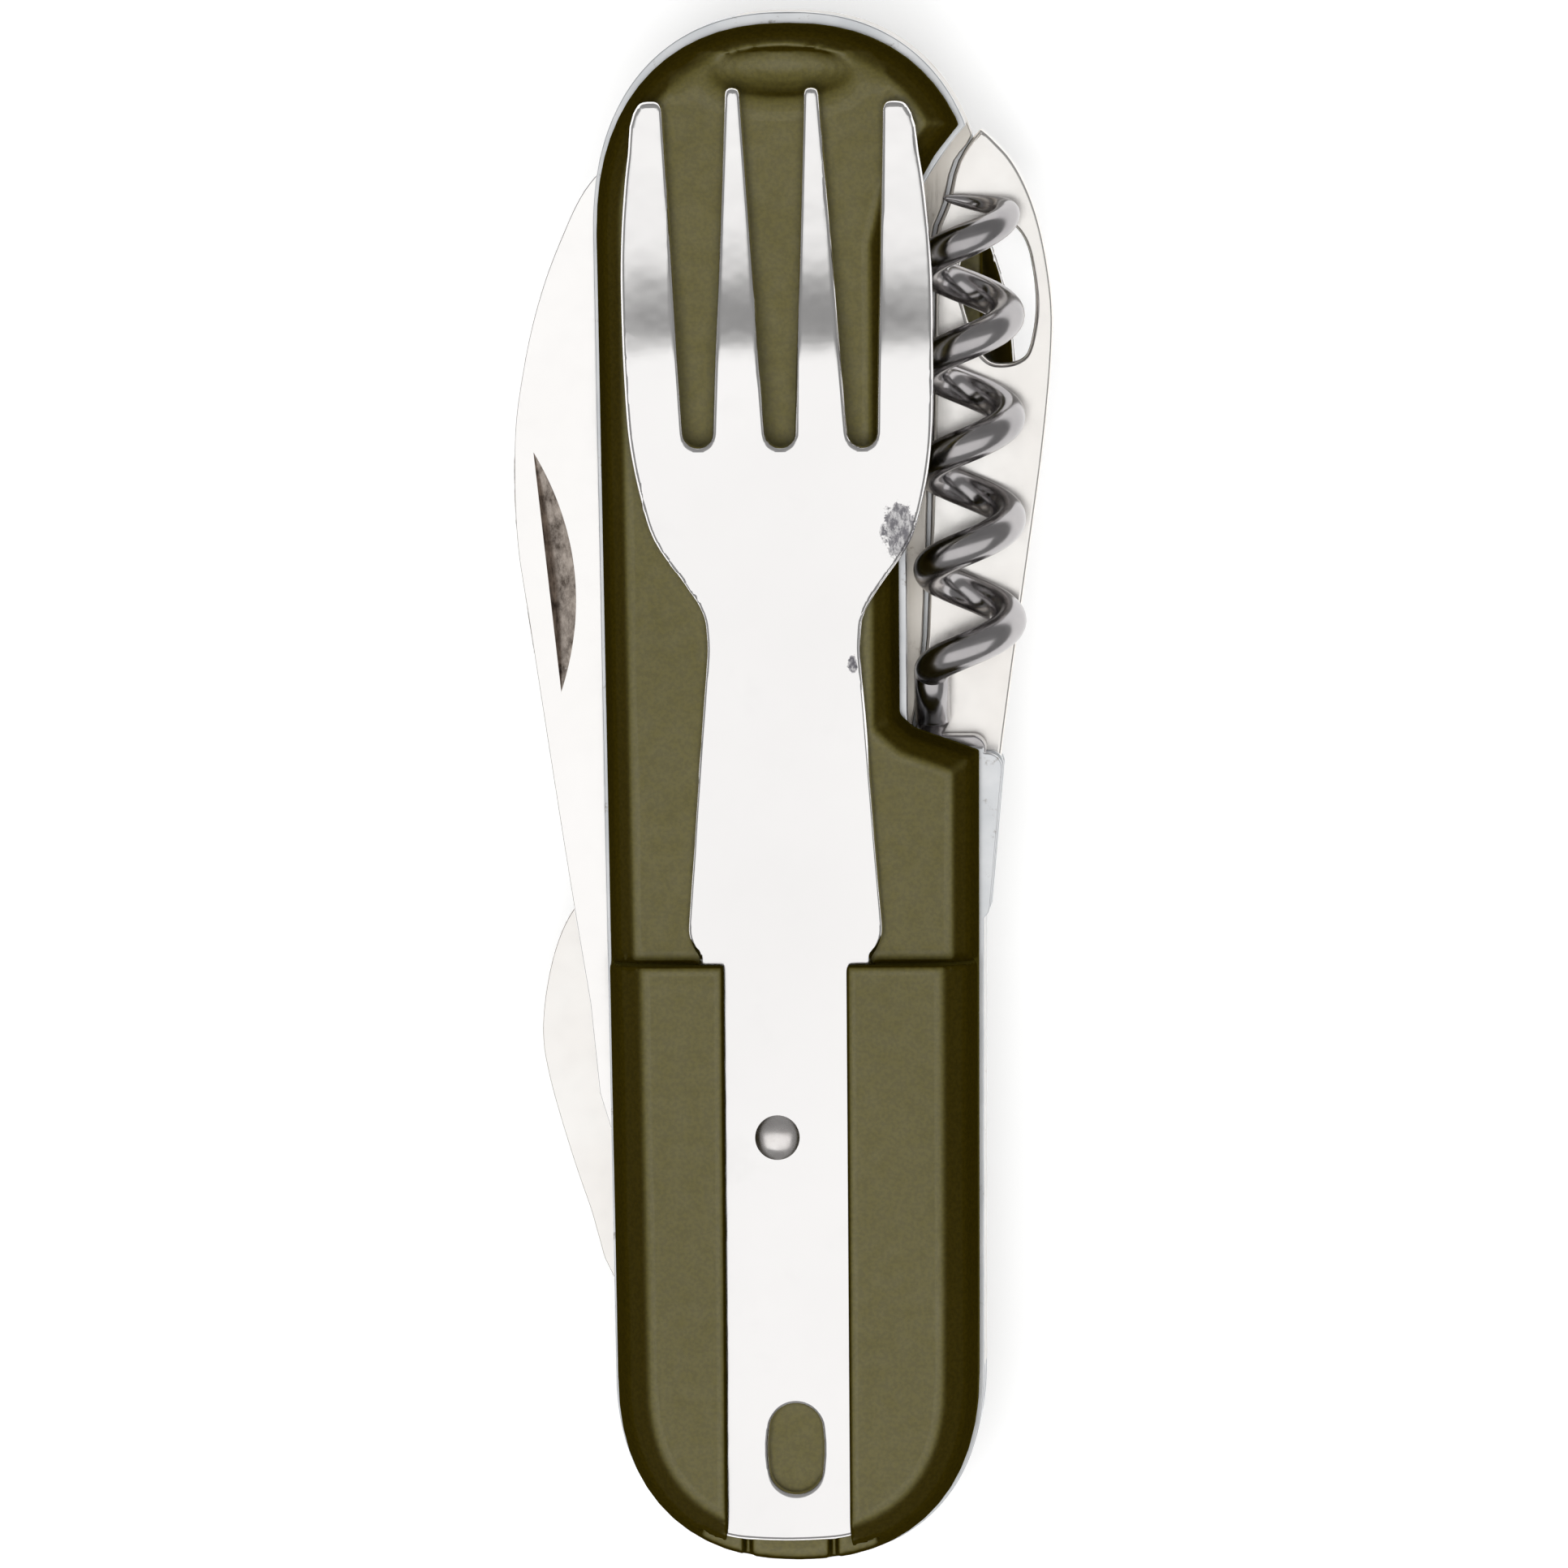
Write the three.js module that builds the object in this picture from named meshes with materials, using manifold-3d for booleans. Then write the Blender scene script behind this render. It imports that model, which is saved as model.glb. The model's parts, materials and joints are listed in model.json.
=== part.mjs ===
// Folding picnic cutlery: a two-layer pocket knife between two olive plastic scales.
// A fork slides in a T-slot in the front scale and a spoon in the same slot of the back scale.
// Millimetres. X runs across the handle, Y along it to the tines, Z from the spoon to the fork.
// The origin is under the middle of the closed cutlery, on the surface it lies on.
import * as THREE from "three";
import { mergeVertices } from "three/addons/utils/BufferGeometryUtils.js";
import Module from "manifold-3d";

const wasm = await Module();
wasm.setup();

// ---------------------------------------------------------------- driving dimensions

// Handle, seen from the front. Its slot lies on X = 0 and its own centre line slants beside it.
const handleLength = 107.25;
const topHalfWidth = 13.3;
const bottomHalfWidth = 12.6;
const topCapHeight = 14.6;
const bottomCapHeight = 13.1;
const capFullness = 2.3;
const topCentreX = 0.3;
const bottomCentreX = 0.6;
const handleBottomY = -54.5;

// Thicknesses through the stack.
const lipThickness = 1.4;
const floorThickness = 3.9;
const linerThickness = 0.8;
const knifeLayer = 2.6;
const openerLayer = 2.2;
const stackGap = 0.08;

// Scales and their slot.
const floorBevel = 1.8;
const lipBevel = 2.4;
const bevelSlope = 0.83;
const wallShare = 0.5;
const wallSlope = 3;
const lipTopY = -12.6;
const slotOpening = 8.54;
const lipOverhang = 1.93;
const tongueWidth = 5.5;
const grooveWidth = 0.5;
const grooveDepth = 1.2;
const grooveTopY = -30;
const hollowX = 0;
const hollowInset = 3.4;
const hollowWidth = 10.8;
const hollowHeight = 4;
const hollowDepth = 1.1;
const hollowTilt = 18;

// Metal layers, which stand proud of the scales, most of all at the top end.
const linerProud = 0.3;
const linerCrown = 0.45;

// Notch for the corkscrew, in the right side of all layers but the back scale.
const notchDepth = 5.5;
const notchBottomY = 3.6;
const notchTopY = 45.7;
const notchFall = 1.5;
const notchLinerProud = 0.5;
const notchPlateProud = 3.7;
const layerStep = 0.1;
const tabProud = 0.9;

// Pivots and pins.
const pinRadius = 1.5;
const pinClearance = 0.06;
const pinSeat = 2.2;
const bladePivotX = 2;
const bladePivotRise = 7.9;
const toolPivotInset = 2.75;
const toolPivotY = -4.4;
const springPinY = -24;
const topPinX = 4;
const topPinInset = 4.6;

// Folding tools.
const tangRadius = 6;
const toolTangRadius = 3.5;
const bladeTipInset = 6.7;
const grindWidth = 6.5;
const grindStartX = -11.5;
const grindStartRise = 16;
const edgeThickness = 0.3;
const nickDepth = 0.6;
const canOpenerReach = 40;
const openerReach = 49.6;
const workGap = 0.3;
const springWall = 2.2;
const pocketRise = 1.5;
const pocketFall = 1.1;

// Corkscrew.
const wireDiameter = 2.45;
const wormDiameter = 7.9;
const wormPitch = 7.11;
const wormTurns = 4.5;
const wormAxisOffset = 2.2;
const wormStartRise = 11.8;
const tenonRadius = 0.75;
const tenonDepth = 3;
const tenonClearance = 0.1;
const corkTangDrop = 0.7;
const corkTangGap = 0.25;
const corkTangShoulder = 2.2;

// Fork and spoon.
const sheetThickness = 1.2;
const sheetClearance = 0.1;
const slotPlay = 0.2;
const stemSideClearance = 0.2;
const stemEndY = -53;
const shoulderWidth = 13.55;
const neckWidth = 10.75;
const forkHeadWidth = 21.6;
const forkTipY = 48.4;
const gapRootY = 23.5;
const gapRootWidth = 2.05;
const gapTipWidth = 4.4;
const gapSpacing = 5.7;
const gapTipSpacing = 5.47;
const headSkew = 0.02;
const headSkewY = 21;
const forkLift = 2.2;
const slotHoleWidth = 3.6;
const slotHoleLength = 6.2;
const slotHoleX = 0.5;
const slotHoleY = -46.5;
const rivetX = -0.65;
const rivetY = -24.7;
const rivetShankRadius = 0.9;
const rivetHeadRadius = 1.55;
const rivetHeadHeight = 0.85;
const bowlWidth = 31.4;
const bowlLength = 45.4;
const bowlDepth = 5.9;
const bowlWall = 1.1;
const bowlStartY = 2;
const bowlEgg = 0.13;

// ---------------------------------------------------------------- derived places

const handleTopY = handleBottomY + handleLength;
const topCapY = handleTopY - topCapHeight;
const bottomCapY = handleBottomY + bottomCapHeight;
const rightEdgeX = (topCentreX + topHalfWidth + bottomCentreX + bottomHalfWidth) / 2;
const notchX = rightEdgeX - notchDepth;
const slotHeight = sheetThickness + sheetClearance + slotPlay;
const scaleThickness = floorThickness + slotHeight + lipThickness;

const backInnerZ = scaleThickness;
const backLinerZ = backInnerZ + stackGap;
const openerZ = backLinerZ + linerThickness + stackGap;
const middleLinerZ = openerZ + openerLayer + stackGap;
const knifeZ = middleLinerZ + linerThickness + stackGap;
const frontLinerZ = knifeZ + knifeLayer + stackGap;
const frontInnerZ = frontLinerZ + linerThickness + stackGap;
const frontFloorZ = frontInnerZ + floorThickness;
const backFloorZ = backInnerZ - floorThickness;

const bladePivot = new THREE.Vector2(bladePivotX, handleBottomY + bladePivotRise);
const toolPivot = new THREE.Vector2(rightEdgeX - toolPivotInset, toolPivotY);
const springPin = new THREE.Vector2(toolPivot.x, springPinY);
const topPin = new THREE.Vector2(topPinX, handleTopY - topPinInset);
const pins = [bladePivot, toolPivot, springPin, topPin];

const stemHalfWidth = slotOpening / 2 + lipOverhang - stemSideClearance;
const wormRadius = (wormDiameter - wireDiameter) / 2;
const wormAxisX = toolPivot.x + wormAxisOffset;
const wormAxisZ = openerZ + openerLayer + workGap + wormDiameter / 2;
const wormStartY = toolPivot.y + wormStartRise;
const corkTangTopY = notchBottomY - corkTangDrop;
const far = 200;

// ---------------------------------------------------------------- solids

function solidFrom(geometry) {
  const bare = geometry.clone();
  bare.deleteAttribute("normal");
  bare.deleteAttribute("uv");
  const merged = mergeVertices(bare, 1e-4);
  const mesh = new wasm.Mesh({
    numProp: 3,
    vertProperties: new Float32Array(merged.attributes.position.array),
    triVerts: new Uint32Array(merged.index.array),
  });
  return new wasm.Manifold(mesh);
}

function geometryFrom(solid) {
  const mesh = solid.getMesh();
  const geometry = new THREE.BufferGeometry();
  geometry.setAttribute("position", new THREE.BufferAttribute(new Float32Array(mesh.vertProperties), 3));
  geometry.setIndex(new THREE.BufferAttribute(new Uint32Array(mesh.triVerts), 1));
  const flat = geometry.toNonIndexed();
  flat.computeVertexNormals();
  return flat;
}

const vectors = (pairs) => pairs.map(([x, y]) => new THREE.Vector2(x, y));

// A flat plate: the outline from zLow to zHigh.
function plate(outline, zLow, zHigh) {
  const shape = new THREE.Shape(outline);
  const geometry = new THREE.ExtrudeGeometry(shape, { depth: zHigh - zLow, bevelEnabled: false });
  geometry.translate(0, 0, zLow);
  return solidFrom(geometry);
}

function box(xLow, xHigh, yLow, yHigh, zLow, zHigh) {
  const geometry = new THREE.BoxGeometry(xHigh - xLow, yHigh - yLow, zHigh - zLow);
  geometry.translate((xLow + xHigh) / 2, (yLow + yHigh) / 2, (zLow + zHigh) / 2);
  return solidFrom(geometry);
}

function rod(centre, radius, zLow, zHigh, sides = 28) {
  const geometry = new THREE.CylinderGeometry(radius, radius, zHigh - zLow, sides);
  geometry.rotateX(Math.PI / 2);
  geometry.translate(centre.x, centre.y, (zLow + zHigh) / 2);
  return solidFrom(geometry);
}

// An ellipsoid turned about its own X axis.
function ellipsoid(centre, radii, tiltDegrees) {
  const geometry = new THREE.SphereGeometry(1, 28, 14);
  geometry.scale(radii.x, radii.y, radii.z);
  geometry.rotateX(THREE.MathUtils.degToRad(tiltDegrees));
  geometry.translate(centre.x, centre.y, centre.z);
  return solidFrom(geometry);
}

// The hole that a pin turns in or is pressed into.
const pinHole = (centre, zLow, zHigh) => rod(centre, pinRadius + pinClearance, zLow, zHigh);

function drillPins(solid, zLow, zHigh, centres = pins) {
  return centres.reduce((left, centre) => left.subtract(pinHole(centre, zLow, zHigh)), solid);
}

// Points of a smooth curve through the given points, ends included.
function smooth(pairs, steps) {
  return new THREE.SplineCurve(vectors(pairs)).getPoints(steps);
}

// Points of an arc about a centre, from one angle to another in degrees.
function arc(centre, radius, fromDegrees, toDegrees, steps = 12) {
  const curve = new THREE.EllipseCurve(
    centre.x,
    centre.y,
    radius,
    radius,
    THREE.MathUtils.degToRad(fromDegrees),
    THREE.MathUtils.degToRad(toDegrees),
    toDegrees < fromDegrees,
  );
  return curve.getPoints(steps);
}

// ---------------------------------------------------------------- outlines

// Half of one rounded end of the handle, as a superellipse from the side to the tip and down again.
function capPoints(centreX, halfWidth, height, centreY, grow, steps) {
  const points = [];
  for (let i = 0; i <= steps; i += 1) {
    const angle = (Math.PI * i) / steps;
    const across = Math.sign(Math.cos(angle)) * Math.abs(Math.cos(angle)) ** (2 / capFullness);
    const up = Math.abs(Math.sin(angle)) ** (2 / capFullness);
    const x = centreX + (halfWidth + grow) * across;
    const y = centreY + Math.sign(height) * (Math.abs(height) + grow) * up;
    points.push(new THREE.Vector2(x, y));
  }
  return points;
}

function handleOutline(grow = 0, crown = 0) {
  const top = capPoints(topCentreX, topHalfWidth, topCapHeight + crown, topCapY, grow, 30);
  const bottom = capPoints(bottomCentreX, bottomHalfWidth, -bottomCapHeight, bottomCapY, grow, 26);
  return [...top, ...bottom.reverse()];
}

const metalOutline = () => handleOutline(linerProud, linerCrown);

// The upper end of the notch: X from its inner edge and Y from its top.
const notchShoulder = [
  [0, -8.4],
  [0.7, -5.7],
  [2.7, -2.2],
  [4.2, -0.3],
];

// What the notch takes out of a metal layer, with its inner edge further right by `shift`.
function notchCut(shift, zLow, zHigh) {
  const edge = notchShoulder.map(([x, y]) => [notchX + shift + x, notchTopY + y]);
  const outline = vectors([
    [notchX + shift, notchBottomY - notchFall],
    [far, notchBottomY - notchFall],
    [far, notchTopY + 0.4],
    [notchX + shift + 4.9, notchTopY + 0.4],
    ...edge.reverse(),
  ]);
  return plate(outline, zLow, zHigh);
}

// The tab by which the liners cover the pivot of the two back tools.
function pivotTab(zLow, zHigh) {
  const outer = rightEdgeX + tabProud;
  const outline = [
    new THREE.Vector2(notchX, notchBottomY - notchFall - 0.2),
    new THREE.Vector2(notchX, toolPivot.y - 5),
    ...arc(new THREE.Vector2(outer - 1.2, toolPivot.y - 4.6), 1.0, -90, 0, 5),
    ...arc(new THREE.Vector2(outer - 0.3, notchBottomY - notchFall - 1.4), 1.0, 0, 90, 5),
  ];
  return plate(outline, zLow, zHigh);
}

// ---------------------------------------------------------------- scales

// One scale, inner face on z = 0 and its lips pointing up, with bevelled outer edges.
function scaleSolid(outline) {
  const raised = bevelledSlab(outline, scaleThickness, lipBevel);
  const low = bevelledSlab(outline, floorThickness, floorBevel);
  const lips = raised.intersect(box(-far, far, -far, lipTopY, 0, far));
  const opening = box(-slotOpening / 2, slotOpening / 2, -far, 0, floorThickness, far);
  const undercutHalf = slotOpening / 2 + lipOverhang;
  const slot = box(-undercutHalf, undercutHalf, -far, 0, floorThickness, floorThickness + slotHeight);
  let solid = low.add(lips).subtract(opening).subtract(slot);
  for (const side of [-1, 1]) {
    const x = (side * (tongueWidth + grooveWidth)) / 2;
    const groove = box(
      x - grooveWidth / 2,
      x + grooveWidth / 2,
      -far,
      grooveTopY,
      floorThickness - grooveDepth,
      far,
    );
    solid = solid.subtract(groove);
  }
  const thumbHollow = ellipsoid(
    new THREE.Vector3(hollowX, handleTopY - hollowInset, floorThickness + 0.3),
    new THREE.Vector3(hollowWidth / 2, hollowHeight / 2, hollowDepth + 0.3),
    -hollowTilt,
  );
  return solid.subtract(thumbHollow);
}

// A slab from z = 0 to the given height, its top edge bevelled over the given width.
function bevelledSlab(outline, height, width) {
  const top = chamferedSlab(outline, height, width, bevelSlope);
  const wall = chamferedSlab(outline, height, width * wallShare, wallSlope);
  return top.intersect(wall).intersect(box(-far, far, -far, far, 0, height));
}

// A slab with one straight chamfer along its edges. The chamfer under its foot hangs below z = 0.
function chamferedSlab(outline, height, width, slope) {
  const fall = width * slope;
  const geometry = new THREE.ExtrudeGeometry(new THREE.Shape(outline), {
    depth: height - fall,
    bevelThickness: fall,
    bevelSize: width,
    bevelOffset: -width,
    bevelSegments: 1,
  });
  return solidFrom(geometry);
}

// The corkscrew notch as the front scale has it, its edge bevelled like the outer edge.
function scaleNotch() {
  const outline = vectors([
    [far, notchBottomY - notchFall],
    [rightEdgeX - 0.3, notchBottomY - notchFall],
    [notchX + 1, notchBottomY],
    [notchX, notchBottomY + 0.9],
    ...notchShoulder.map(([x, y]) => [notchX + x, notchTopY + y]),
    [notchX + 4.9, notchTopY + 0.4],
    [far, notchTopY + 0.4],
  ]);
  const top = flaredCut(outline, floorThickness, floorBevel, bevelSlope);
  const wall = flaredCut(outline, floorThickness, floorBevel * wallShare, wallSlope);
  return top.add(wall);
}

// A cut through a slab that widens towards the face at faceZ.
function flaredCut(outline, faceZ, width, slope) {
  const geometry = new THREE.ExtrudeGeometry(new THREE.Shape(outline), {
    depth: 1,
    bevelThickness: width * slope,
    bevelSize: width,
    bevelSegments: 1,
  });
  geometry.translate(0, 0, faceZ);
  return plate(outline, -1, faceZ).add(solidFrom(geometry));
}

function frontScale() {
  const geometry = geometryFrom(scaleSolid(handleOutline()).subtract(scaleNotch()));
  geometry.translate(0, 0, frontInnerZ);
  return drillPins(solidFrom(geometry), 0, frontInnerZ + pinSeat);
}

// The back scale is the same casting without the notch, turned over about the slot.
function backScale() {
  const mirrored = handleOutline().map((point) => new THREE.Vector2(-point.x, point.y)).reverse();
  const geometry = geometryFrom(scaleSolid(mirrored));
  geometry.rotateY(Math.PI);
  geometry.translate(0, 0, backInnerZ);
  return drillPins(solidFrom(geometry), backInnerZ - pinSeat, far);
}

// ---------------------------------------------------------------- liners and springs

function liner(zLow, notchShift) {
  const zHigh = zLow + linerThickness;
  const whole = plate(metalOutline(), zLow, zHigh);
  const notched = whole.subtract(notchCut(notchShift, zLow - 1, zHigh + 1));
  return drillPins(notched.add(pivotTab(zLow, zHigh)), zLow - 1, zHigh + 1);
}

// The part of a layer that its backspring fills: right of the blades, from their tang to the top.
function springRegion(zLow, zHigh) {
  const wallX = toolPivot.x - toolTangRadius - workGap - springWall;
  const outline = vectors([
    [-3.5, far],
    [far, far],
    [far, bladePivot.y + 5.2],
    [bladePivot.x + tangRadius + 1.5, bladePivot.y + 5.2],
    [wallX + 2.4, bladePivot.y + 10.5],
    [wallX, toolPivot.y - 8],
    [wallX, notchTopY - 10],
    [2.5, handleTopY - 7.3],
    [-3.5, handleTopY - 3.7],
  ]);
  return plate(outline, zLow, zHigh);
}

// Room for a back tool's tang, and for its right side to swing down to a right angle.
function toolPocket(zLow, zHigh, leftRoom) {
  const round = rod(toolPivot, toolTangRadius + workGap, zLow, zHigh);
  const top = notchBottomY + pocketRise;
  const bottom = toolPivot.y - toolTangRadius - pocketFall;
  const above = box(toolPivot.x - leftRoom, far, toolPivot.y, top, zLow, zHigh);
  const right = box(toolPivot.x, far, bottom, toolPivot.y, zLow, zHigh);
  return round.add(above).add(right);
}

function backspring(zLow, thickness, cuts) {
  const zHigh = zLow + thickness;
  const filled = plate(metalOutline(), zLow, zHigh).intersect(springRegion(zLow, zHigh));
  const cut = cuts.reduce((left, tool) => left.subtract(tool), filled);
  return drillPins(cut, zLow - 1, zHigh + 1, [springPin, topPin]);
}

function knifeSpring() {
  const zLow = knifeZ - 1;
  const zHigh = knifeZ + knifeLayer + 1;
  const proud = notchLinerProud - layerStep;
  const pocket = toolPocket(zLow, zHigh, toolPivot.x - notchX - proud);
  return backspring(knifeZ, knifeLayer, [notchCut(proud, zLow, zHigh), pocket]);
}

// The left edge of the bottle opener up to its tip, which its spring follows with a working gap.
const openerLeft = [
  [-toolTangRadius, 0],
  [-1.55, 9],
  [-0.6, 24.2],
  [-0.2, 42],
  [0.6, 44.3],
  [1.4, 47.3],
  [3, openerReach],
];

function openerSpring() {
  const zLow = openerZ - 1;
  const zHigh = openerZ + openerLayer + 1;
  const edge = openerLeft.map(([x, y]) => [toolPivot.x + x - workGap, toolPivot.y + y]);
  const tip = [edge.at(-1)[0], toolPivot.y + openerReach + workGap];
  const outline = vectors([[far, toolPivot.y], [far, tip[1]], tip, ...edge.reverse()]);
  const cut = plate(outline, zLow, zHigh);
  const pocket = toolPocket(zLow, zHigh, toolTangRadius + workGap);
  const lowPocket = pocket.intersect(box(-far, far, -far, toolPivot.y + 0.5, zLow, zHigh));
  return backspring(openerZ, openerLayer, [cut, lowPocket]);
}

// ---------------------------------------------------------------- blades

// The spine and the cutting side of the knife blade: X from the pivot, and height above it as a
// share of the blade's reach.
const spine = [
  [-14.45, 0.2325],
  [-17.2, 0.4156],
  [-19.9, 0.6117],
  [-20.85, 0.6854],
  [-20.95, 0.758],
  [-20.4, 0.8067],
  [-19.4, 0.856],
  [-17.8, 0.9053],
  [-15.3, 0.956],
  [-10.3, 1],
];
const belly = [
  [-10.3, 1],
  [-7.4, 0.93],
  [-5.8, 0.78],
  [-5.2, 0.55],
  [-5, 0.2],
];

function knifeBlade() {
  const reach = handleTopY - bladeTipInset - bladePivot.y;
  const along = ([x, share]) => [bladePivot.x + x, bladePivot.y + share * reach];
  const zHigh = knifeZ + knifeLayer;
  const outline = [
    ...arc(bladePivot, tangRadius, 150, 420, 24),
    new THREE.Vector2(bladePivot.x + 1, bladePivot.y + 10.5),
    new THREE.Vector2(bladePivot.x - 1.5, bladePivot.y + 13),
    ...smooth(belly.map(along).reverse(), 16),
    ...smooth(spine.map(along).reverse(), 30).slice(1),
  ];
  const blank = plate(outline, knifeZ, zHigh);
  const edged = [-1, 1].reduce((left, side) => left.subtract(edgeGrind(side)), blank);
  return drillPins(edged.subtract(nailNick(zHigh, reach)), knifeZ - 1, zHigh + 1, [bladePivot]);
}

// The wedge that sharpens one face of the blade along its cutting side.
function edgeGrind(side) {
  const slope = Math.atan2((knifeLayer - edgeThickness) / 2, grindWidth);
  const span = new THREE.Vector3(2 * tangRadius, handleLength, 2 * knifeLayer);
  const geometry = new THREE.BoxGeometry(span.x, span.y, span.z);
  geometry.translate(span.x / 2, span.y / 2, span.z / 2);
  geometry.rotateY(slope);
  if (side < 0) {
    geometry.rotateX(Math.PI);
    geometry.translate(0, span.y, 0);
  }
  const faceZ = knifeZ + (side > 0 ? knifeLayer : 0);
  geometry.translate(bladePivot.x + grindStartX, bladePivot.y + grindStartRise, faceZ);
  return solidFrom(geometry);
}

// A crescent groove near the spine, for a thumb nail.
function nailNick(zTop, reach) {
  const bow = [
    [-19.6, 0.7548],
    [-17.2, 0.6787],
    [-16.95, 0.6353],
    [-17.6, 0.5712],
  ].map(([x, share]) => [bladePivot.x + x, bladePivot.y + share * reach]);
  return plate(smooth(bow, 12), zTop - nickDepth, zTop + 1);
}

function canOpener() {
  const at = (x, y) => [bladePivot.x + x, bladePivot.y + y];
  const zHigh = openerZ + openerLayer;
  const outer = [
    at(-14.6, 11.1),
    at(-16.1, 15.6),
    at(-17.6, 20.1),
    at(-19.1, 25.5),
    at(-19.5, 29.1),
    at(-18.8, 33.6),
    at(-17.4, 37),
    at(-14.8, canOpenerReach),
  ];
  const outline = [
    ...arc(bladePivot, tangRadius, 200, 420, 22),
    ...vectors([at(-3, 13), at(-8.5, 24), at(-10.4, 30.5), at(-13.4, 31.8), at(-13.2, 35)]),
    ...smooth(outer.reverse(), 20),
  ];
  return drillPins(plate(outline, openerZ, zHigh), openerZ - 1, zHigh + 1, [bladePivot]);
}

function bottleOpener() {
  const at = ([x, y]) => [toolPivot.x + x, toolPivot.y + y];
  const zHigh = openerZ + openerLayer;
  const right = [
    [4.1, 5.1],
    [5, 11.6],
    [6, 18.4],
    [7.3, 27.6],
    [7.95, 34.9],
    [7.75, 39.2],
    [6.8, 43.8],
    [5.2, 47.3],
    [3, openerReach],
  ];
  const outline = [
    ...arc(toolPivot, toolTangRadius, 180, 360, 16),
    ...smooth(right.map(at), 28),
    ...vectors(openerLeft.slice(1, -1).map(at).reverse()),
  ];
  const blank = plate(outline, openerZ, zHigh);
  const hole = plate(smooth(liftHole.map(at), 24), openerZ - 1, zHigh + 1);
  return drillPins(blank.subtract(hole), openerZ - 1, zHigh + 1, [toolPivot]);
}

// The hole that grips a bottle cap, from the pivot of the opener.
const liftHole = [
  [4.7, 43.3],
  [6.1, 41.6],
  [6.75, 38],
  [6.5, 35],
  [5.7, 33.4],
  [3.4, 33.3],
  [2.1, 35.8],
  [1.4, 39.4],
  [2.6, 42.3],
  [4.7, 43.3],
];

// ---------------------------------------------------------------- corkscrew

// The wire's centre line: up out of the tang, forward to the worm, then round and up to the point.
function wirePath() {
  const tangZ = knifeZ + knifeLayer / 2;
  const leftX = wormAxisX - wormRadius;
  const points = [
    new THREE.Vector3(leftX, corkTangTopY - tenonDepth, tangZ),
    new THREE.Vector3(leftX, corkTangTopY - tenonDepth / 2, tangZ),
    new THREE.Vector3(leftX, corkTangTopY, tangZ),
    new THREE.Vector3(leftX, corkTangTopY + 1.6, tangZ + 0.3),
    new THREE.Vector3(leftX, wormStartY - 1.2, wormAxisZ - 0.3),
  ];
  const perTurn = 14;
  const straightSteps = Math.round(wormTurns * perTurn);
  for (let i = 0; i <= straightSteps + 5; i += 1) {
    const angle = -Math.PI / 2 + (2 * Math.PI * i) / perTurn;
    const past = Math.max(0, i - straightSteps);
    const turns = (Math.min(i, straightSteps) + past * 0.4) / perTurn;
    const x = wormAxisX + wormRadius * Math.sin(angle);
    const z = wormAxisZ + wormRadius * Math.cos(angle);
    points.push(new THREE.Vector3(x, wormStartY + wormPitch * turns, z));
  }
  return new THREE.CatmullRomCurve3(points, false, "centripetal");
}

// A closed round rod along a curve whose radius changes along its length.
function sweptRod(curve, steps, sides, radiusAt) {
  curve.arcLengthDivisions = steps * 8;
  const frames = curve.computeFrenetFrames(steps, false);
  const positions = [];
  const faces = [];
  for (let i = 0; i <= steps; i += 1) {
    const centre = curve.getPointAt(i / steps);
    const radius = radiusAt(centre, i / steps);
    for (let j = 0; j < sides; j += 1) {
      const angle = (2 * Math.PI * j) / sides;
      const out = frames.normals[i].clone().multiplyScalar(Math.cos(angle));
      out.addScaledVector(frames.binormals[i], Math.sin(angle));
      const point = centre.clone().addScaledVector(out, radius);
      positions.push(point.x, point.y, point.z);
    }
  }
  const ring = (i, j) => i * sides + (j % sides);
  for (let i = 0; i < steps; i += 1) {
    for (let j = 0; j < sides; j += 1) {
      faces.push(ring(i, j), ring(i, j + 1), ring(i + 1, j + 1));
      faces.push(ring(i, j), ring(i + 1, j + 1), ring(i + 1, j));
    }
  }
  for (let j = 1; j < sides - 1; j += 1) {
    faces.push(ring(0, 0), ring(0, j + 1), ring(0, j));
    faces.push(ring(steps, 0), ring(steps, j), ring(steps, j + 1));
  }
  const geometry = new THREE.BufferGeometry();
  geometry.setAttribute("position", new THREE.Float32BufferAttribute(positions, 3));
  geometry.setIndex(faces);
  return solidFrom(geometry);
}

function corkscrewWorm() {
  const taperShare = 0.12;
  const radiusAt = (centre, share) => {
    if (centre.y < corkTangTopY + 1) {
      return tenonRadius;
    }
    const fromTip = Math.min(1, (1 - share) / taperShare);
    return (wireDiameter / 2) * (0.12 + 0.88 * Math.sqrt(fromTip));
  };
  return sweptRod(wirePath(), 100, 8, radiusAt);
}

function corkscrewTang() {
  const left = notchX + notchLinerProud + corkTangGap;
  const outline = [
    ...arc(toolPivot, toolTangRadius - workGap, 180, 360, 14),
    ...arc(new THREE.Vector2(toolPivot.x + corkTangShoulder, corkTangTopY - 1), 1, 0, 90, 5),
    new THREE.Vector2(left, corkTangTopY),
    new THREE.Vector2(left, toolPivot.y + 3),
  ];
  const zHigh = knifeZ + knifeLayer;
  const boreRadius = tenonRadius + tenonClearance;
  const boreLength = 2 * tenonDepth;
  const bore = new THREE.CylinderGeometry(boreRadius, boreRadius, boreLength, 16);
  const boreY = corkTangTopY - tenonDepth - tenonClearance + boreLength / 2;
  bore.translate(wormAxisX - wormRadius, boreY, knifeZ + knifeLayer / 2);
  const blank = plate(outline, knifeZ, zHigh).subtract(solidFrom(bore));
  return drillPins(blank, knifeZ - 1, zHigh + 1, [toolPivot]);
}

// ---------------------------------------------------------------- fork and spoon

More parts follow.
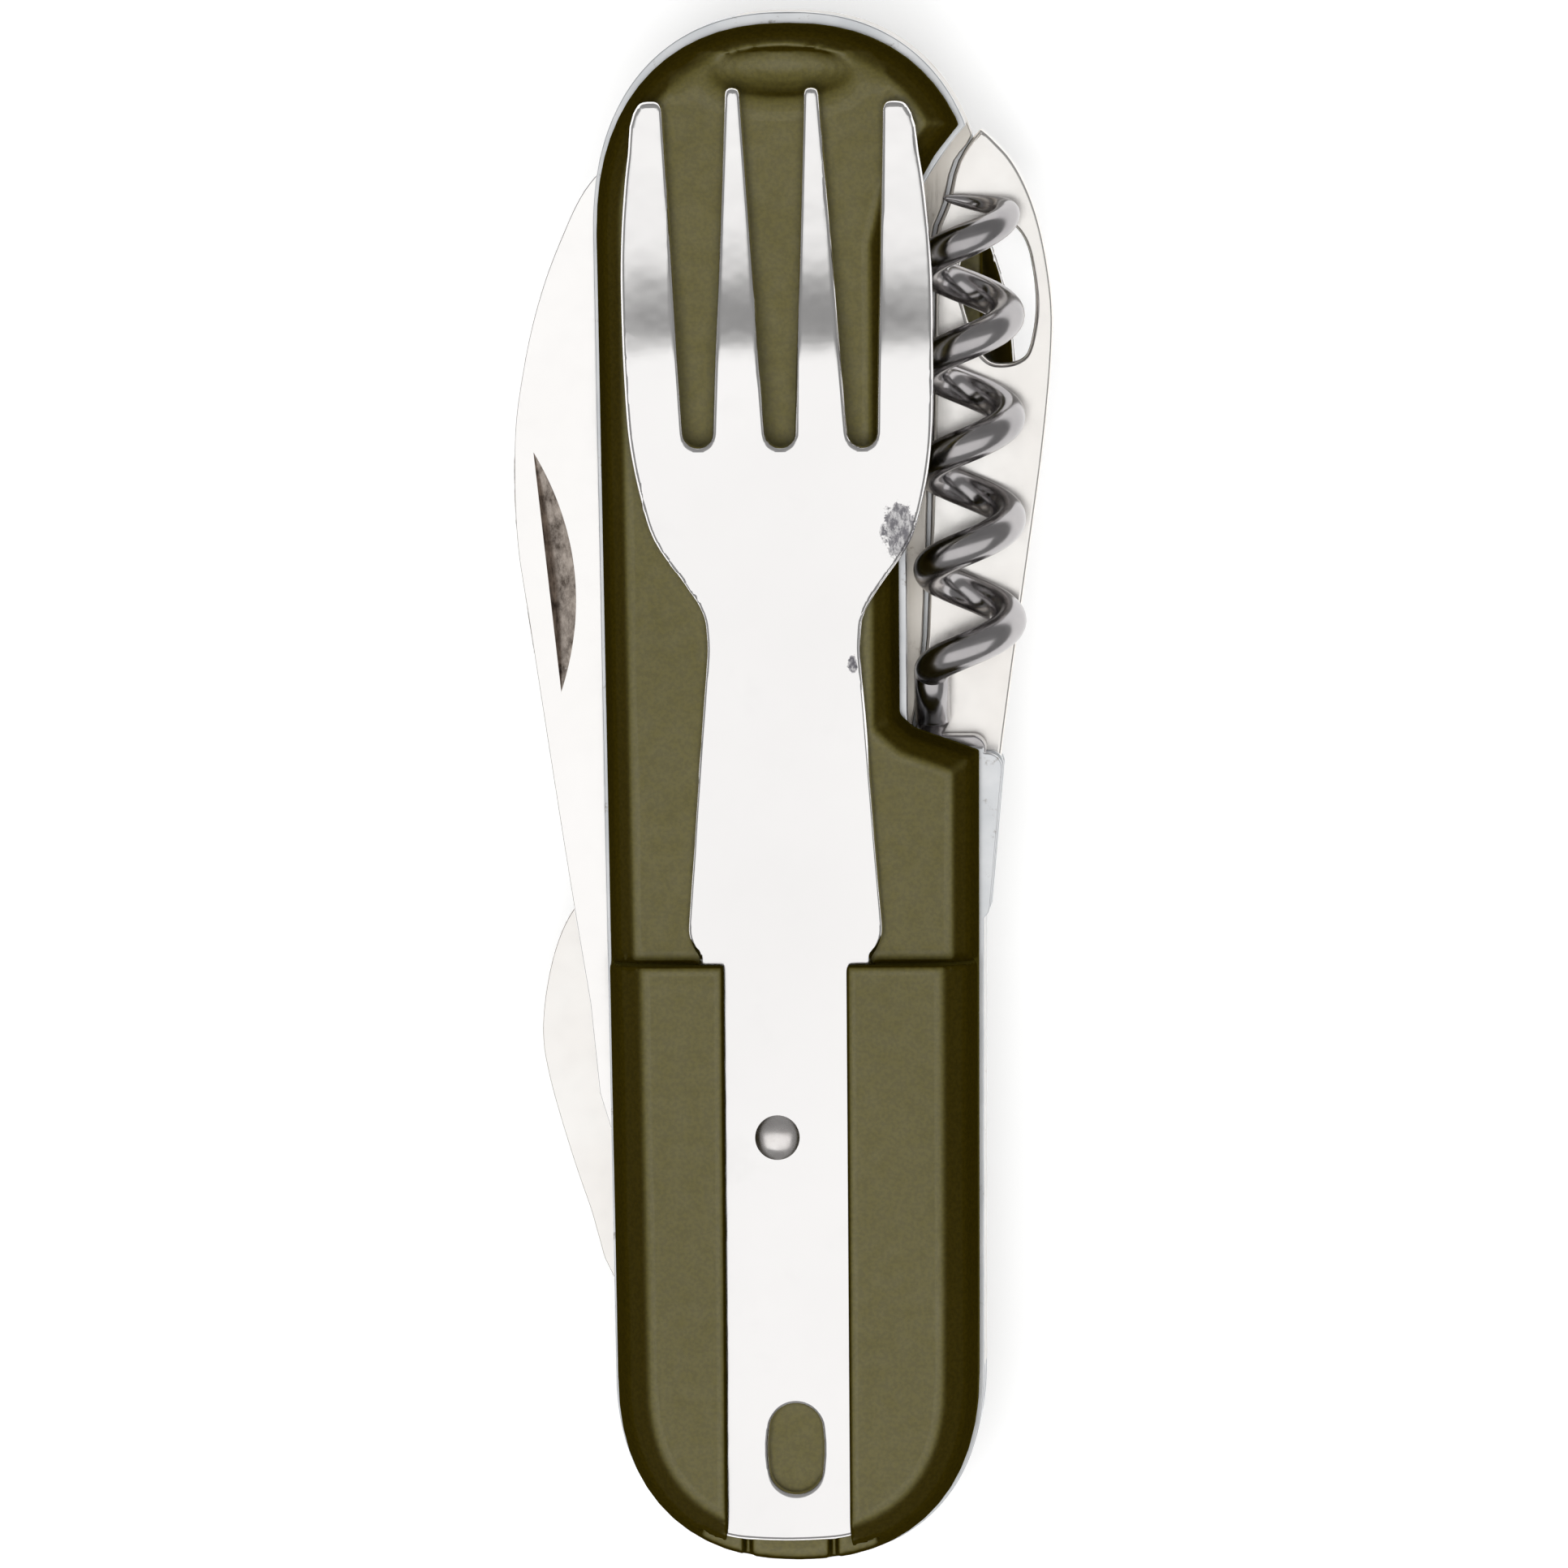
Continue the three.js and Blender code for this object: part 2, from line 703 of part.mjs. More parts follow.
// The stem that both share, right half from its end up to the neck.
const stemRight = [
  [stemHalfWidth, lipTopY + 0.5],
  [shoulderWidth / 2 - 0.33, lipTopY + 1.15],
  [shoulderWidth / 2, lipTopY + 2.1],
];
const neckRight = [
  [shoulderWidth / 2, lipTopY + 2.9],
  [shoulderWidth / 2 - 0.38, lipTopY + 7.9],
  [shoulderWidth / 2 - 1, lipTopY + 16.3],
];
const headRight = [
  [neckWidth / 2, lipTopY + 21.5],
  [neckWidth / 2 + 0.2, 11.6],
  [6.9, 13.9],
  [8.5, 16.2],
  [9.45, 18.4],
  [forkHeadWidth / 2 - 0.42, 22.9],
  [forkHeadWidth / 2 - 0.1, 27.5],
  [forkHeadWidth / 2, 35.5],
  [forkHeadWidth / 2 - 0.4, 41.5],
  [forkHeadWidth / 2 - 1.15, 46.6],
];

// A closed outline symmetrical about X = 0, from its right half read upwards.
function bothSides(right) {
  const left = right.map((point) => new THREE.Vector2(-point.x, point.y)).reverse();
  return [...right, ...left];
}

function stemEnd() {
  const right = [
    [0, stemEndY],
    [stemHalfWidth * 0.6, stemEndY + 0.22],
    [stemHalfWidth, stemEndY + 0.9],
  ];
  return smooth(right, 6).slice(1);
}

function slotHole(zLow, zHigh, x) {
  const radius = slotHoleWidth / 2;
  const half = slotHoleLength / 2 - radius;
  const outline = [
    ...arc(new THREE.Vector2(x, slotHoleY + half), radius, 0, 180, 10),
    ...arc(new THREE.Vector2(x, slotHoleY - half), radius, 180, 360, 10),
  ];
  return plate(outline, zLow, zHigh);
}

// The head leans a little to the left: its points move over in step with their height.
function skewed(point) {
  const rise = Math.max(0, point.y - headSkewY);
  return new THREE.Vector2(point.x - headSkew * rise, point.y);
}

// One gap between two tines: a wedge that opens towards the tips, with a round root.
function tineGap(index) {
  const rootX = index * gapSpacing;
  const tipX = index * gapTipSpacing;
  const rootRadius = gapRootWidth / 2;
  const beyond = forkTipY + 5;
  const outline = [
    ...arc(new THREE.Vector2(rootX, gapRootY + rootRadius), rootRadius, 180, 360, 8),
    ...vectors([
      [tipX + gapTipWidth / 2, forkTipY],
      [tipX + gapTipWidth / 2, beyond],
      [tipX - gapTipWidth / 2, beyond],
      [tipX - gapTipWidth / 2, forkTipY],
    ]),
  ];
  return plate(outline.map(skewed), -far, far);
}

// A sheet whose height follows a side profile, extruded across the whole head.
function bentSheet(profile) {
  const below = smooth(profile, 40);
  const above = below.map((point) => new THREE.Vector2(point.x, point.y + sheetThickness)).reverse();
  const geometry = new THREE.ExtrudeGeometry(new THREE.Shape([...below, ...above]), {
    depth: 2 * forkHeadWidth,
    bevelEnabled: false,
  });
  geometry.translate(0, 0, -forkHeadWidth);
  const turn = new THREE.Matrix4().makeBasis(
    new THREE.Vector3(0, 1, 0),
    new THREE.Vector3(0, 0, 1),
    new THREE.Vector3(1, 0, 0),
  );
  geometry.applyMatrix4(turn);
  return solidFrom(geometry);
}

function fork() {
  const restZ = frontFloorZ + sheetClearance;
  const profile = [
    [stemEndY - 5, 0],
    [-20, 0],
    [6, 0.02],
    [13, 0.35],
    [20, forkLift * 0.74],
    [26, forkLift * 0.97],
    [29.5, forkLift],
    [31.5, forkLift * 0.88],
    [34, forkLift * 0.66],
    [37, forkLift * 0.5],
    [41, forkLift * 0.38],
    [45, forkLift * 0.3],
    [forkTipY + 1, forkLift * 0.24],
  ].map(([y, lift]) => [y, restZ + lift]);
  const outer = smooth(headRight, 30);
  const tips = vectors([
    [forkHeadWidth / 2 - 1.6, forkTipY - 1],
    [gapTipSpacing, forkTipY - 0.8],
    [gapTipSpacing, forkTipY],
  ]);
  const right = [...stemEnd(), ...vectors(stemRight), ...vectors(neckRight), ...outer, ...tips];
  let solid = bentSheet(profile).intersect(plate(bothSides(right).map(skewed), -far, far));
  for (const index of [-1, 0, 1]) {
    solid = solid.subtract(tineGap(index));
  }
  const rivetBore = rod(new THREE.Vector2(rivetX, rivetY), rivetShankRadius + pinClearance, -far, far, 20);
  return solid.subtract(slotHole(-far, far, slotHoleX)).subtract(rivetBore);
}

// A domed rivet through a stem, its tail flush with the back of the sheet, built on z = 0.
function rivetGeometry() {
  const dome = arc(new THREE.Vector2(0, 0), 1, 0, 90, 8);
  const seat = sheetThickness + 0.02;
  const head = dome.map((p) => new THREE.Vector2(p.x * rivetHeadRadius, seat + p.y * rivetHeadHeight));
  head.at(-1).x = 0;
  const profile = [...vectors([[0, 0], [rivetShankRadius, 0], [rivetShankRadius, seat]]), ...head];
  const geometry = new THREE.LatheGeometry(profile, 20);
  geometry.rotateX(Math.PI / 2);
  return geometry;
}

function forkRivet() {
  const geometry = rivetGeometry();
  geometry.translate(rivetX, rivetY, frontFloorZ + sheetClearance);
  return solidFrom(geometry);
}

function spoonRivet() {
  const geometry = rivetGeometry();
  geometry.rotateY(Math.PI);
  geometry.translate(-rivetX, rivetY, backFloorZ - sheetClearance);
  return solidFrom(geometry);
}

// An egg-shaped hollow: an ellipsoid that is wider towards the tip of the bowl.
function eggSolid(shrink) {
  const geometry = new THREE.SphereGeometry(1, 32, 18);
  geometry.rotateX(Math.PI / 2);
  const place = geometry.attributes.position;
  for (let i = 0; i < place.count; i += 1) {
    place.setX(i, place.getX(i) * (1 + bowlEgg * place.getY(i)));
  }
  geometry.scale(bowlWidth / 2 - shrink, bowlLength / 2 - shrink, bowlDepth - shrink);
  geometry.translate(0, bowlStartY + bowlLength / 2, backFloorZ - sheetClearance);
  return solidFrom(geometry);
}

function spoon() {
  const faceZ = backFloorZ - sheetClearance;
  const joinY = bowlStartY + 5;
  const neck = [
    [neckWidth / 2, bowlStartY - 2],
    [neckWidth / 2 + 0.4, bowlStartY + 1.5],
    [7.6, joinY],
  ];
  const stemUpright = vectors([...stemRight, ...neckRight.slice(0, 2)]);
  const right = [...stemEnd(), ...stemUpright, ...smooth(neck, 8)];
  const stem = plate(bothSides(right), faceZ - sheetThickness, faceZ);
  const bowl = eggSolid(0).intersect(box(-far, far, -far, far, -far, faceZ));
  const whole = stem.add(bowl).subtract(eggSolid(bowlWall));
  const bore = rod(new THREE.Vector2(-rivetX, rivetY), rivetShankRadius + pinClearance, -far, far, 20);
  return whole.subtract(slotHole(-far, far, -slotHoleX)).subtract(bore);
}

// ---------------------------------------------------------------- assembly

const olive = { color: 0x60603a, roughness: 0.55, metalness: 0 };
const zinc = { color: 0xc9cdd2, roughness: 0.4, metalness: 1 };
const polished = { color: 0xe4e4e6, roughness: 0.14, metalness: 1 };
const bladeSteel = { color: 0xdcdcdc, roughness: 0.25, metalness: 1 };
const darkNickel = { color: 0x6c6a6c, roughness: 0.12, metalness: 1 };

const pinLow = backInnerZ - pinSeat + pinClearance;
const pinHigh = frontInnerZ + pinSeat - pinClearance;
const pinSolid = (centre) => rod(centre, pinRadius, pinLow, pinHigh);

const pieces = [
  ["front_scale", frontScale(), olive],
  ["back_scale", backScale(), olive],
  ["front_liner", liner(frontLinerZ, notchLinerProud), zinc],
  ["middle_liner", liner(middleLinerZ, notchLinerProud - layerStep), zinc],
  ["back_liner", liner(backLinerZ, notchPlateProud), zinc],
  ["knife_backspring", knifeSpring(), bladeSteel],
  ["opener_backspring", openerSpring(), bladeSteel],
  ["blade_pivot_pin", pinSolid(bladePivot), zinc],
  ["tool_pivot_pin", pinSolid(toolPivot), zinc],
  ["spring_pin", pinSolid(springPin), zinc],
  ["top_pin", pinSolid(topPin), zinc],
  ["knife_blade", knifeBlade(), bladeSteel],
  ["can_opener", canOpener(), bladeSteel],
  ["corkscrew_tang", corkscrewTang(), darkNickel],
  ["corkscrew_worm", corkscrewWorm(), darkNickel],
  ["bottle_opener", bottleOpener(), bladeSteel],
  ["fork", fork(), polished],
  ["fork_rivet", forkRivet(), polished],
  ["spoon", spoon(), polished],
  ["spoon_rivet", spoonRivet(), polished],
];

const cutlery = new THREE.Group();
for (const [name, solid, finish] of pieces) {
  const mesh = new THREE.Mesh(geometryFrom(solid), new THREE.MeshStandardMaterial(finish));
  mesh.name = name;
  cutlery.add(mesh);
}

// Stand the closed cutlery on z = 0 with its middle over the origin.
const extent = new THREE.Box3().setFromObject(cutlery);
const middle = extent.getCenter(new THREE.Vector3());
cutlery.position.set(-middle.x, -middle.y, -extent.min.z);

export default cutlery;
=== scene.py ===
"""Looks of a folding picnic cutlery set: olive scales, steel fork and spoon, blades and corkscrew.

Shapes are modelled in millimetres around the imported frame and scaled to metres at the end.
"""

import json
import math

import bmesh
import bpy
from mathutils import Matrix, Vector
from mathutils.bvhtree import BVHTree


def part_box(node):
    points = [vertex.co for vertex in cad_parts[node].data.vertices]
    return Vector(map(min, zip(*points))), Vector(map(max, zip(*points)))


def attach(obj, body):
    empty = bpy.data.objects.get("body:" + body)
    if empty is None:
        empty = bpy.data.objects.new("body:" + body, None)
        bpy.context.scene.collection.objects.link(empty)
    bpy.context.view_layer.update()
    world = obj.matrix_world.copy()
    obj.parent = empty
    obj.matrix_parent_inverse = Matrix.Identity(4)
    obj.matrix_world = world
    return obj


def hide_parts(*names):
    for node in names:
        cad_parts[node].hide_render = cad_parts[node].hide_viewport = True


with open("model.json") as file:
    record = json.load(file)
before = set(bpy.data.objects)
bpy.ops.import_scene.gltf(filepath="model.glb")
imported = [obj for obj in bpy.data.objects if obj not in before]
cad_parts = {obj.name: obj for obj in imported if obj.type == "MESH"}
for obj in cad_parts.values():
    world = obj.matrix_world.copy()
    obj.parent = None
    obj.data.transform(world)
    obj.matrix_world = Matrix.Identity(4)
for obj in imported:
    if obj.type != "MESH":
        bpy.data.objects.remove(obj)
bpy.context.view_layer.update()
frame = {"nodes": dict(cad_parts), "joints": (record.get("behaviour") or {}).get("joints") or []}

MM = 0.001
TINY = 1e-6
UP = Vector((0, 0, 1))

SHEET = 1.2  # thickness of the fork's and the spoon's sheet
PLATE_FILLET = 0.15  # radius at the corners of a stamped plate


# ------------------------------------------------------------------ frame lookups, in millimetres


def span(node):
    """Lowest and highest corner of a CAD node, in millimetres."""
    low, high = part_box(node)
    return Vector(low) / MM, Vector(high) / MM


def cad_mesh(node):
    """A copy of a CAD node's mesh in millimetres, with its doubled vertices merged."""
    doubled = 1e-3
    bm = bmesh.new()
    bm.from_mesh(frame["nodes"][node].data)
    bmesh.ops.scale(bm, vec=(1 / MM,) * 3, verts=bm.verts)
    bmesh.ops.remove_doubles(bm, verts=bm.verts, dist=doubled)
    bm.normal_update()
    return bm


def joint(name):
    """A joint's entry in the frame."""
    return next(j for j in frame["joints"] if j["name"] == name)


# ------------------------------------------------------------------ outlines


def boundary_loops(bm, wanted, smallest=0.05):
    """The closed boundary loops, as lists of (x, y), of the faces that `wanted` accepts.

    Loops that enclose less than `smallest` are left out; the largest comes first.
    """
    # A dict keeps the faces in the mesh's order, so each outline always starts at the same point.
    faces = dict.fromkeys(f for f in bm.faces if wanted(f))
    following = {}
    for face in faces:
        for loop in face.loops:
            others = [f for f in loop.edge.link_faces if f in faces]
            if len(others) == 1:
                following.setdefault(loop.vert, []).append(loop.link_loop_next.vert)
    loops = []
    while following:
        start = next(iter(following))
        vert = start
        points = []
        while vert in following:
            points.append(vert.co.xy.copy())
            ahead = following[vert].pop()
            if not following[vert]:
                del following[vert]
            vert = ahead
            if vert is start:
                break
        if len(points) > 2 and abs(area(points)) > smallest:
            loops.append(points)
    loops.sort(key=lambda p: -abs(area(p)))
    return loops


def area(points):
    """Signed area of a closed outline."""
    total = 0.0
    for a, b in zip(points, points[1:] + points[:1]):
        total += a.x * b.y - b.x * a.y
    return total / 2


def turn_angle(before, here, after):
    """How far an outline turns at a point."""
    first, second = here - before, after - here
    return abs(first.angle_signed(second, 0.0))


def without_straights(points, tolerance=0.004, shortest=0.03):
    """Drops the points that lie on a line between their neighbours, and those that only turn back."""
    kept = list(points)
    changed = True
    while changed:
        changed = False
        for i in range(len(kept) - 1, -1, -1):
            here, before, after = kept[i], kept[i - 1], kept[(i + 1) % len(kept)]
            first, second = here - before, after - here
            if first.length < shortest or second.length < TINY:
                kept.pop(i)
                changed = True
                continue
            off = abs(first.x * second.y - first.y * second.x) / max(first.length, second.length)
            if off < tolerance:
                kept.pop(i)
                changed = True
    return kept


def softened(points, corner=math.radians(34), pieces=3, shortest=0.25, longest=4.0):
    """The outline with its round stretches subdivided; corners and long straight sides stay."""
    points = without_straights(points)
    count = len(points)
    sharp = []
    tangents = []
    for i, here in enumerate(points):
        before, after = points[i - 1], points[(i + 1) % count]
        sharp.append(turn_angle(before, here, after) > corner)
        back, ahead = here - before, after - here
        if back.length > longest and back.length > 2 * ahead.length:
            tangents.append(back.normalized())
        elif ahead.length > longest and ahead.length > 2 * back.length:
            tangents.append(ahead.normalized())
        else:
            both = back.normalized() * ahead.length + ahead.normalized() * back.length
            tangents.append(both.normalized())
    result = []
    for i, here in enumerate(points):
        j = (i + 1) % count
        after = points[j]
        result.append(here)
        length = (after - here).length
        straight = (after - here).normalized()
        if length < shortest or (sharp[i] and sharp[j]):
            continue
        start = straight if sharp[i] else tangents[i]
        end = straight if sharp[j] else tangents[j]
        for k in range(1, pieces):
            t = k / pieces
            h00 = 2 * t**3 - 3 * t**2 + 1
            h10 = t**3 - 2 * t**2 + t
            h01 = -2 * t**3 + 3 * t**2
            h11 = t**3 - t**2
            result.append(h00 * here + h10 * length * start + h01 * after + h11 * length * end)
    return result


def filleted(points, radius, corner=math.radians(34), steps=4):
    """The outline with every corner rounded by a radius, or by what radius(point) gives."""
    share_of_side = 0.48
    result = []
    count = len(points)
    for i, here in enumerate(points):
        before, after = points[i - 1], points[(i + 1) % count]
        angle = turn_angle(before, here, after)
        size = radius(here) if callable(radius) else radius
        if angle < corner:
            result.append(here)
            continue
        shorter_side = min((here - before).length, (after - here).length)
        reach = min(size * math.tan(angle / 2), share_of_side * shorter_side)
        start = here + (before - here).normalized() * reach
        end = here + (after - here).normalized() * reach
        for k in range(steps + 1):
            t = k / steps
            result.append(start.lerp(here, t).lerp(here.lerp(end, t), t))
    return result


# ------------------------------------------------------------------ building meshes


def new_object(name, data):
    """An object in the scene round a mesh, curve, light or camera."""
    obj = bpy.data.objects.new(name, data)
    bpy.context.scene.collection.objects.link(obj)
    return obj


def mesh_of(bm, name):
    """A new mesh of what bm holds, with its faces turned outward; bm is freed."""
    bmesh.ops.recalc_face_normals(bm, faces=bm.faces)
    mesh = bpy.data.meshes.new(name)
    bm.to_mesh(mesh)
    bm.free()
    return mesh


def evaluated_mesh(obj, name):
    """The object's mesh with its modifiers applied; the object itself is removed."""
    graph = bpy.context.evaluated_depsgraph_get()
    mesh = bpy.data.meshes.new_from_object(obj.evaluated_get(graph))
    mesh.name = name
    bpy.data.objects.remove(obj)
    return mesh


def with_modifiers(mesh, name, *steps):
    """Applies modifiers, given as (type, settings), and returns the new mesh."""
    obj = new_object(name + "_work", mesh)
    for kind, settings in steps:
        modifier = obj.modifiers.new(kind, kind)
        for key, value in settings.items():
            setattr(modifier, key, value)
    return evaluated_mesh(obj, name)


def mark_sharp(mesh, degrees):
    """Smooth shading everywhere but along edges sharper than this."""
    bm = bmesh.new()
    bm.from_mesh(mesh)
    for face in bm.faces:
        face.smooth = True
    for edge in bm.edges:
        edge.smooth = edge.calc_face_angle(0.0) < math.radians(degrees)
    bm.to_mesh(mesh)
    bm.free()


def finish_piece(name, mesh, body, replaced, material, weighted=True, degrees=32):
    """Scales a mesh from millimetres to the frame and makes it a piece of the object."""
    mark_sharp(mesh, degrees)
    if weighted:
        mesh = with_modifiers(mesh, name, ("WEIGHTED_NORMAL", {"keep_sharp": True, "weight": 60}))
    for vertex in mesh.vertices:
        vertex.co *= MM
    obj = new_object(name, mesh)
    obj.data.materials.clear()
    obj.data.materials.append(material)
    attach(obj, body)
    if replaced:
        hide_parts(*replaced)
    return obj


def plate_mesh(name, loops, z_low, z_high, bevel, segments=2):
    """A flat plate with rounded edges, from an outer outline and the outlines of its holes."""
    doubled, degenerate = 1e-4, 1e-5
    curve = bpy.data.curves.new(name, "CURVE")
    curve.dimensions = "2D"
    curve.fill_mode = "BOTH"
    curve.extrude = (z_high - z_low) / 2 - bevel
    curve.bevel_depth = bevel
    curve.bevel_resolution = segments
    curve.offset = -bevel
    for points in loops:
        spline = curve.splines.new("POLY")
        spline.points.add(len(points) - 1)
        for target, point in zip(spline.points, points):
            target.co = (point.x, point.y, 0, 1)
        spline.use_cyclic_u = True
    obj = new_object(name + "_curve", curve)
    mesh = evaluated_mesh(obj, name)
    bm = bmesh.new()
    bm.from_mesh(mesh)
    bmesh.ops.translate(bm, vec=(0, 0, (z_low + z_high) / 2), verts=bm.verts)
    bmesh.ops.remove_doubles(bm, verts=bm.verts, dist=doubled)
    bmesh.ops.dissolve_degenerate(bm, edges=bm.edges, dist=degenerate)
    bmesh.ops.recalc_face_normals(bm, faces=bm.faces)
    bm.to_mesh(mesh)
    bm.free()
    return mesh


def stamped_outlines(node, wanted):
    """Smooth outlines round the faces of a plate node that `wanted` accepts."""
    bm = cad_mesh(node)
    loops = boundary_loops(bm, wanted)
    bm.free()
    return [softened(filleted(without_straights(points), PLATE_FILLET)) for points in loops]


def plate_piece(name, node, body, material, bevel):
    """A plate node rebuilt with smooth outlines and rounded edges."""
    low, high = span(node)
    outlines = stamped_outlines(node, lambda f: f.normal.z < -0.999)
    mesh = plate_mesh(name, outlines, low.z, high.z, bevel)
    return finish_piece(name, mesh, body, [node], material)


def subtract(mesh, cutter, name):
    """mesh minus cutter, both in millimetres."""
    tool = new_object(name + "_tool", cutter)
    settings = {"operation": "DIFFERENCE", "object": tool, "solver": "EXACT"}
    result = with_modifiers(mesh, name, ("BOOLEAN", settings))
    bpy.data.objects.remove(tool)
    return result


def ring_of(bm, centre, first_axis, second_axis, radius, sides):
    """Vertices evenly round a circle, or a single one where the radius is nothing."""
    if radius < TINY:
        return [bm.verts.new(centre)]
    ring = []
    for j in range(sides):
        angle = 2 * math.pi * j / sides
        outward = first_axis * math.cos(angle) + second_axis * math.sin(angle)
        ring.append(bm.verts.new(centre + radius * outward))
    return ring


def join_rings(bm, rings, sides):
    """Faces between each ring and the next, with triangles where one of them is a single point."""
    for first, second in zip(rings, rings[1:]):
        for j in range(sides):
            k = (j + 1) % sides
            around = ((first, j), (first, k), (second, k), (second, j))
            corners = [ring[i % len(ring)] for ring, i in around]
            bm.faces.new(list(dict.fromkeys(corners)))


def swept_rod(name, points, radii, sides):
    """A closed round rod through points, with a radius at each of them."""
    bm = bmesh.new()
    rings = []
    side = Vector((1, 0, 0))
    count = len(points)
    for i, (point, radius) in enumerate(zip(points, radii)):
        ahead = points[min(i + 1, count - 1)] - points[max(i - 1, 0)]
        ahead.normalize()
        side = (side - ahead * side.dot(ahead)).normalized()
        rings.append(ring_of(bm, point, side, ahead.cross(side), radius, sides))
    join_rings(bm, rings, sides)
    bm.faces.new(list(reversed(rings[0])))
    bm.faces.new(rings[-1])
    return mesh_of(bm, name)


def sheet_mesh(name, loops, thickness, edge, lines_y, lines_x, height):
    """A pressed sheet: a rounded flat blank, cut into a fine grid and lifted by height(x, y)."""
    blank = plate_mesh(name, loops, -thickness / 2, thickness / 2, edge, segments=3)
    bm = bmesh.new()
    bm.from_mesh(blank)
    flat = math.radians(0.05)
    bmesh.ops.dissolve_limit(bm, angle_limit=flat, verts=bm.verts, edges=bm.edges)
    for axis, lines in (((0, 1, 0), lines_y), ((1, 0, 0), lines_x)):
        for line in lines:
            cut = bmesh.ops.bisect_plane(
                bm,
                geom=bm.verts[:] + bm.edges[:] + bm.faces[:],
                dist=1e-5,
                plane_co=Vector(axis) * line,
                plane_no=axis,
            )
            for item in cut["geom_cut"]:
                if isinstance(item, bmesh.types.BMEdge):
                    item.seam = True
    bmesh.ops.dissolve_limit(bm, angle_limit=flat, verts=bm.verts, edges=bm.edges, delimit={"SEAM"})
    for vert in bm.verts:
        vert.co.z += height(vert.co.x, vert.co.y)
    for item in bm.edges:
        item.seam = False
    bmesh.ops.recalc_face_normals(bm, faces=bm.faces)
    bm.to_mesh(blank)
    bm.free()
    return blank


def steps_between(low, high, step):
    """Even steps from low to high, each about as long as `step`."""
    count = max(1, round((high - low) / step))
    return [low + (high - low) * i / count for i in range(count + 1)]


# ------------------------------------------------------------------ materials


class Nodes:
    """A small helper around one material's node tree."""

    def __init__(self, name):
        self.material = bpy.data.materials.new(name)
        self.material.use_nodes = True
        self.tree = self.material.node_tree
        self.shader = self.tree.nodes["Principled BSDF"]
        places = self.add("ShaderNodeTexCoord")
        self.coords = places.outputs["Object"]
        self.facing = places.outputs["Normal"]

    def add(self, kind, **values):
        node = self.tree.nodes.new(kind)
        for key, value in values.items():
            setattr(node, key, value)
        return node

    def link(self, source, target):
        self.tree.links.new(source, target)

    def mapped(self, scale, turn=(0, 0, 0)):
        node = self.add("ShaderNodeMapping")
        node.inputs["Scale"].default_value = scale
        node.inputs["Rotation"].default_value = turn
        self.link(self.coords, node.inputs["Vector"])
        return node.outputs["Vector"]

    def noise(self, scale, detail=3, rough=0.5, vector=None):
        node = self.add("ShaderNodeTexNoise")
        node.inputs["Scale"].default_value = scale
        node.inputs["Detail"].default_value = detail
        node.inputs["Roughness"].default_value = rough
        self.link(vector or self.coords, node.inputs["Vector"])
        return node.outputs["Fac"]

    def levelness(self):
        """1 on faces square to Z, 0 on upright walls."""
        parts = self.add("ShaderNodeSeparateXYZ")
        self.link(self.facing, parts.inputs[0])
        return self.maths("ABSOLUTE", parts.outputs[2])

    def patch(self, centre, size, scale, turn=0.0):
        """A ragged blot round one place, as a grey mask."""
        shift = self.add("ShaderNodeMapping", vector_type="TEXTURE")
        shift.inputs["Location"].default_value = centre
        shift.inputs["Scale"].default_value = size
        shift.inputs["Rotation"].default_value = (0, 0, turn)
        self.link(self.coords, shift.inputs["Vector"])
        length = self.add("ShaderNodeVectorMath", operation="LENGTH")
        self.link(shift.outputs["Vector"], length.inputs[0])
        ragged = self.maths("ADD", length.outputs["Value"], self.noise(scale, detail=6, rough=0.75))
        return self.ramp(ragged, (0.92, 1.0), (1.0, 0.0))

    def cells(self, scale):
        node = self.add("ShaderNodeTexVoronoi")
        node.inputs["Scale"].default_value = scale
        self.link(self.coords, node.inputs["Vector"])
        return node.outputs["Distance"]

    def ramp(self, source, *stops):
        """A colour ramp; stops are (position, grey or (r, g, b))."""
        node = self.add("ShaderNodeValToRGB")
        elements = node.color_ramp.elements
        while len(elements) < len(stops):
            elements.new(0.5)
        for element, (position, colour) in zip(elements, stops):
            element.position = position
            rgb = colour if isinstance(colour, tuple) else (colour,) * 3
            element.color = (*rgb, 1)
        self.link(source, node.inputs["Fac"])
        return node.outputs["Color"]

    def mix(self, factor, first, second, blend="MIX"):
        node = self.add("ShaderNodeMix", data_type="RGBA", blend_type=blend)
        factor_in, first_in, second_in = node.inputs[0], node.inputs[6], node.inputs[7]
        for value, socket in ((factor, factor_in), (first, first_in), (second, second_in)):
            if isinstance(value, (int, float)):
                socket.default_value = value
            elif isinstance(value, tuple):
                socket.default_value = (*value, 1)
            else:
                self.link(value, socket)
        return node.outputs[2]

    def maths(self, operation, first, second=0.0):
        node = self.add("ShaderNodeMath", operation=operation)
        for value, socket in ((first, node.inputs[0]), (second, node.inputs[1])):
            if isinstance(value, (int, float)):
                socket.default_value = value
            else:
                self.link(value, socket)
        return node.outputs[0]

    def bump(self, height, distance, strength, under=None):
        node = self.add("ShaderNodeBump")
        node.inputs["Strength"].default_value = strength
        node.inputs["Distance"].default_value = distance
        self.link(height, node.inputs["Height"])
        if under is not None:
            self.link(under, node.inputs["Normal"])
        return node.outputs["Normal"]

    def set(self, **values):
        """Sets the shader's own sockets; an underscore stands for a space in the name."""
        for key, value in values.items():
            self.shader.inputs[key.replace("_", " ")].default_value = value

    def feed(self, name, source):
        self.link(source, self.shader.inputs[name])


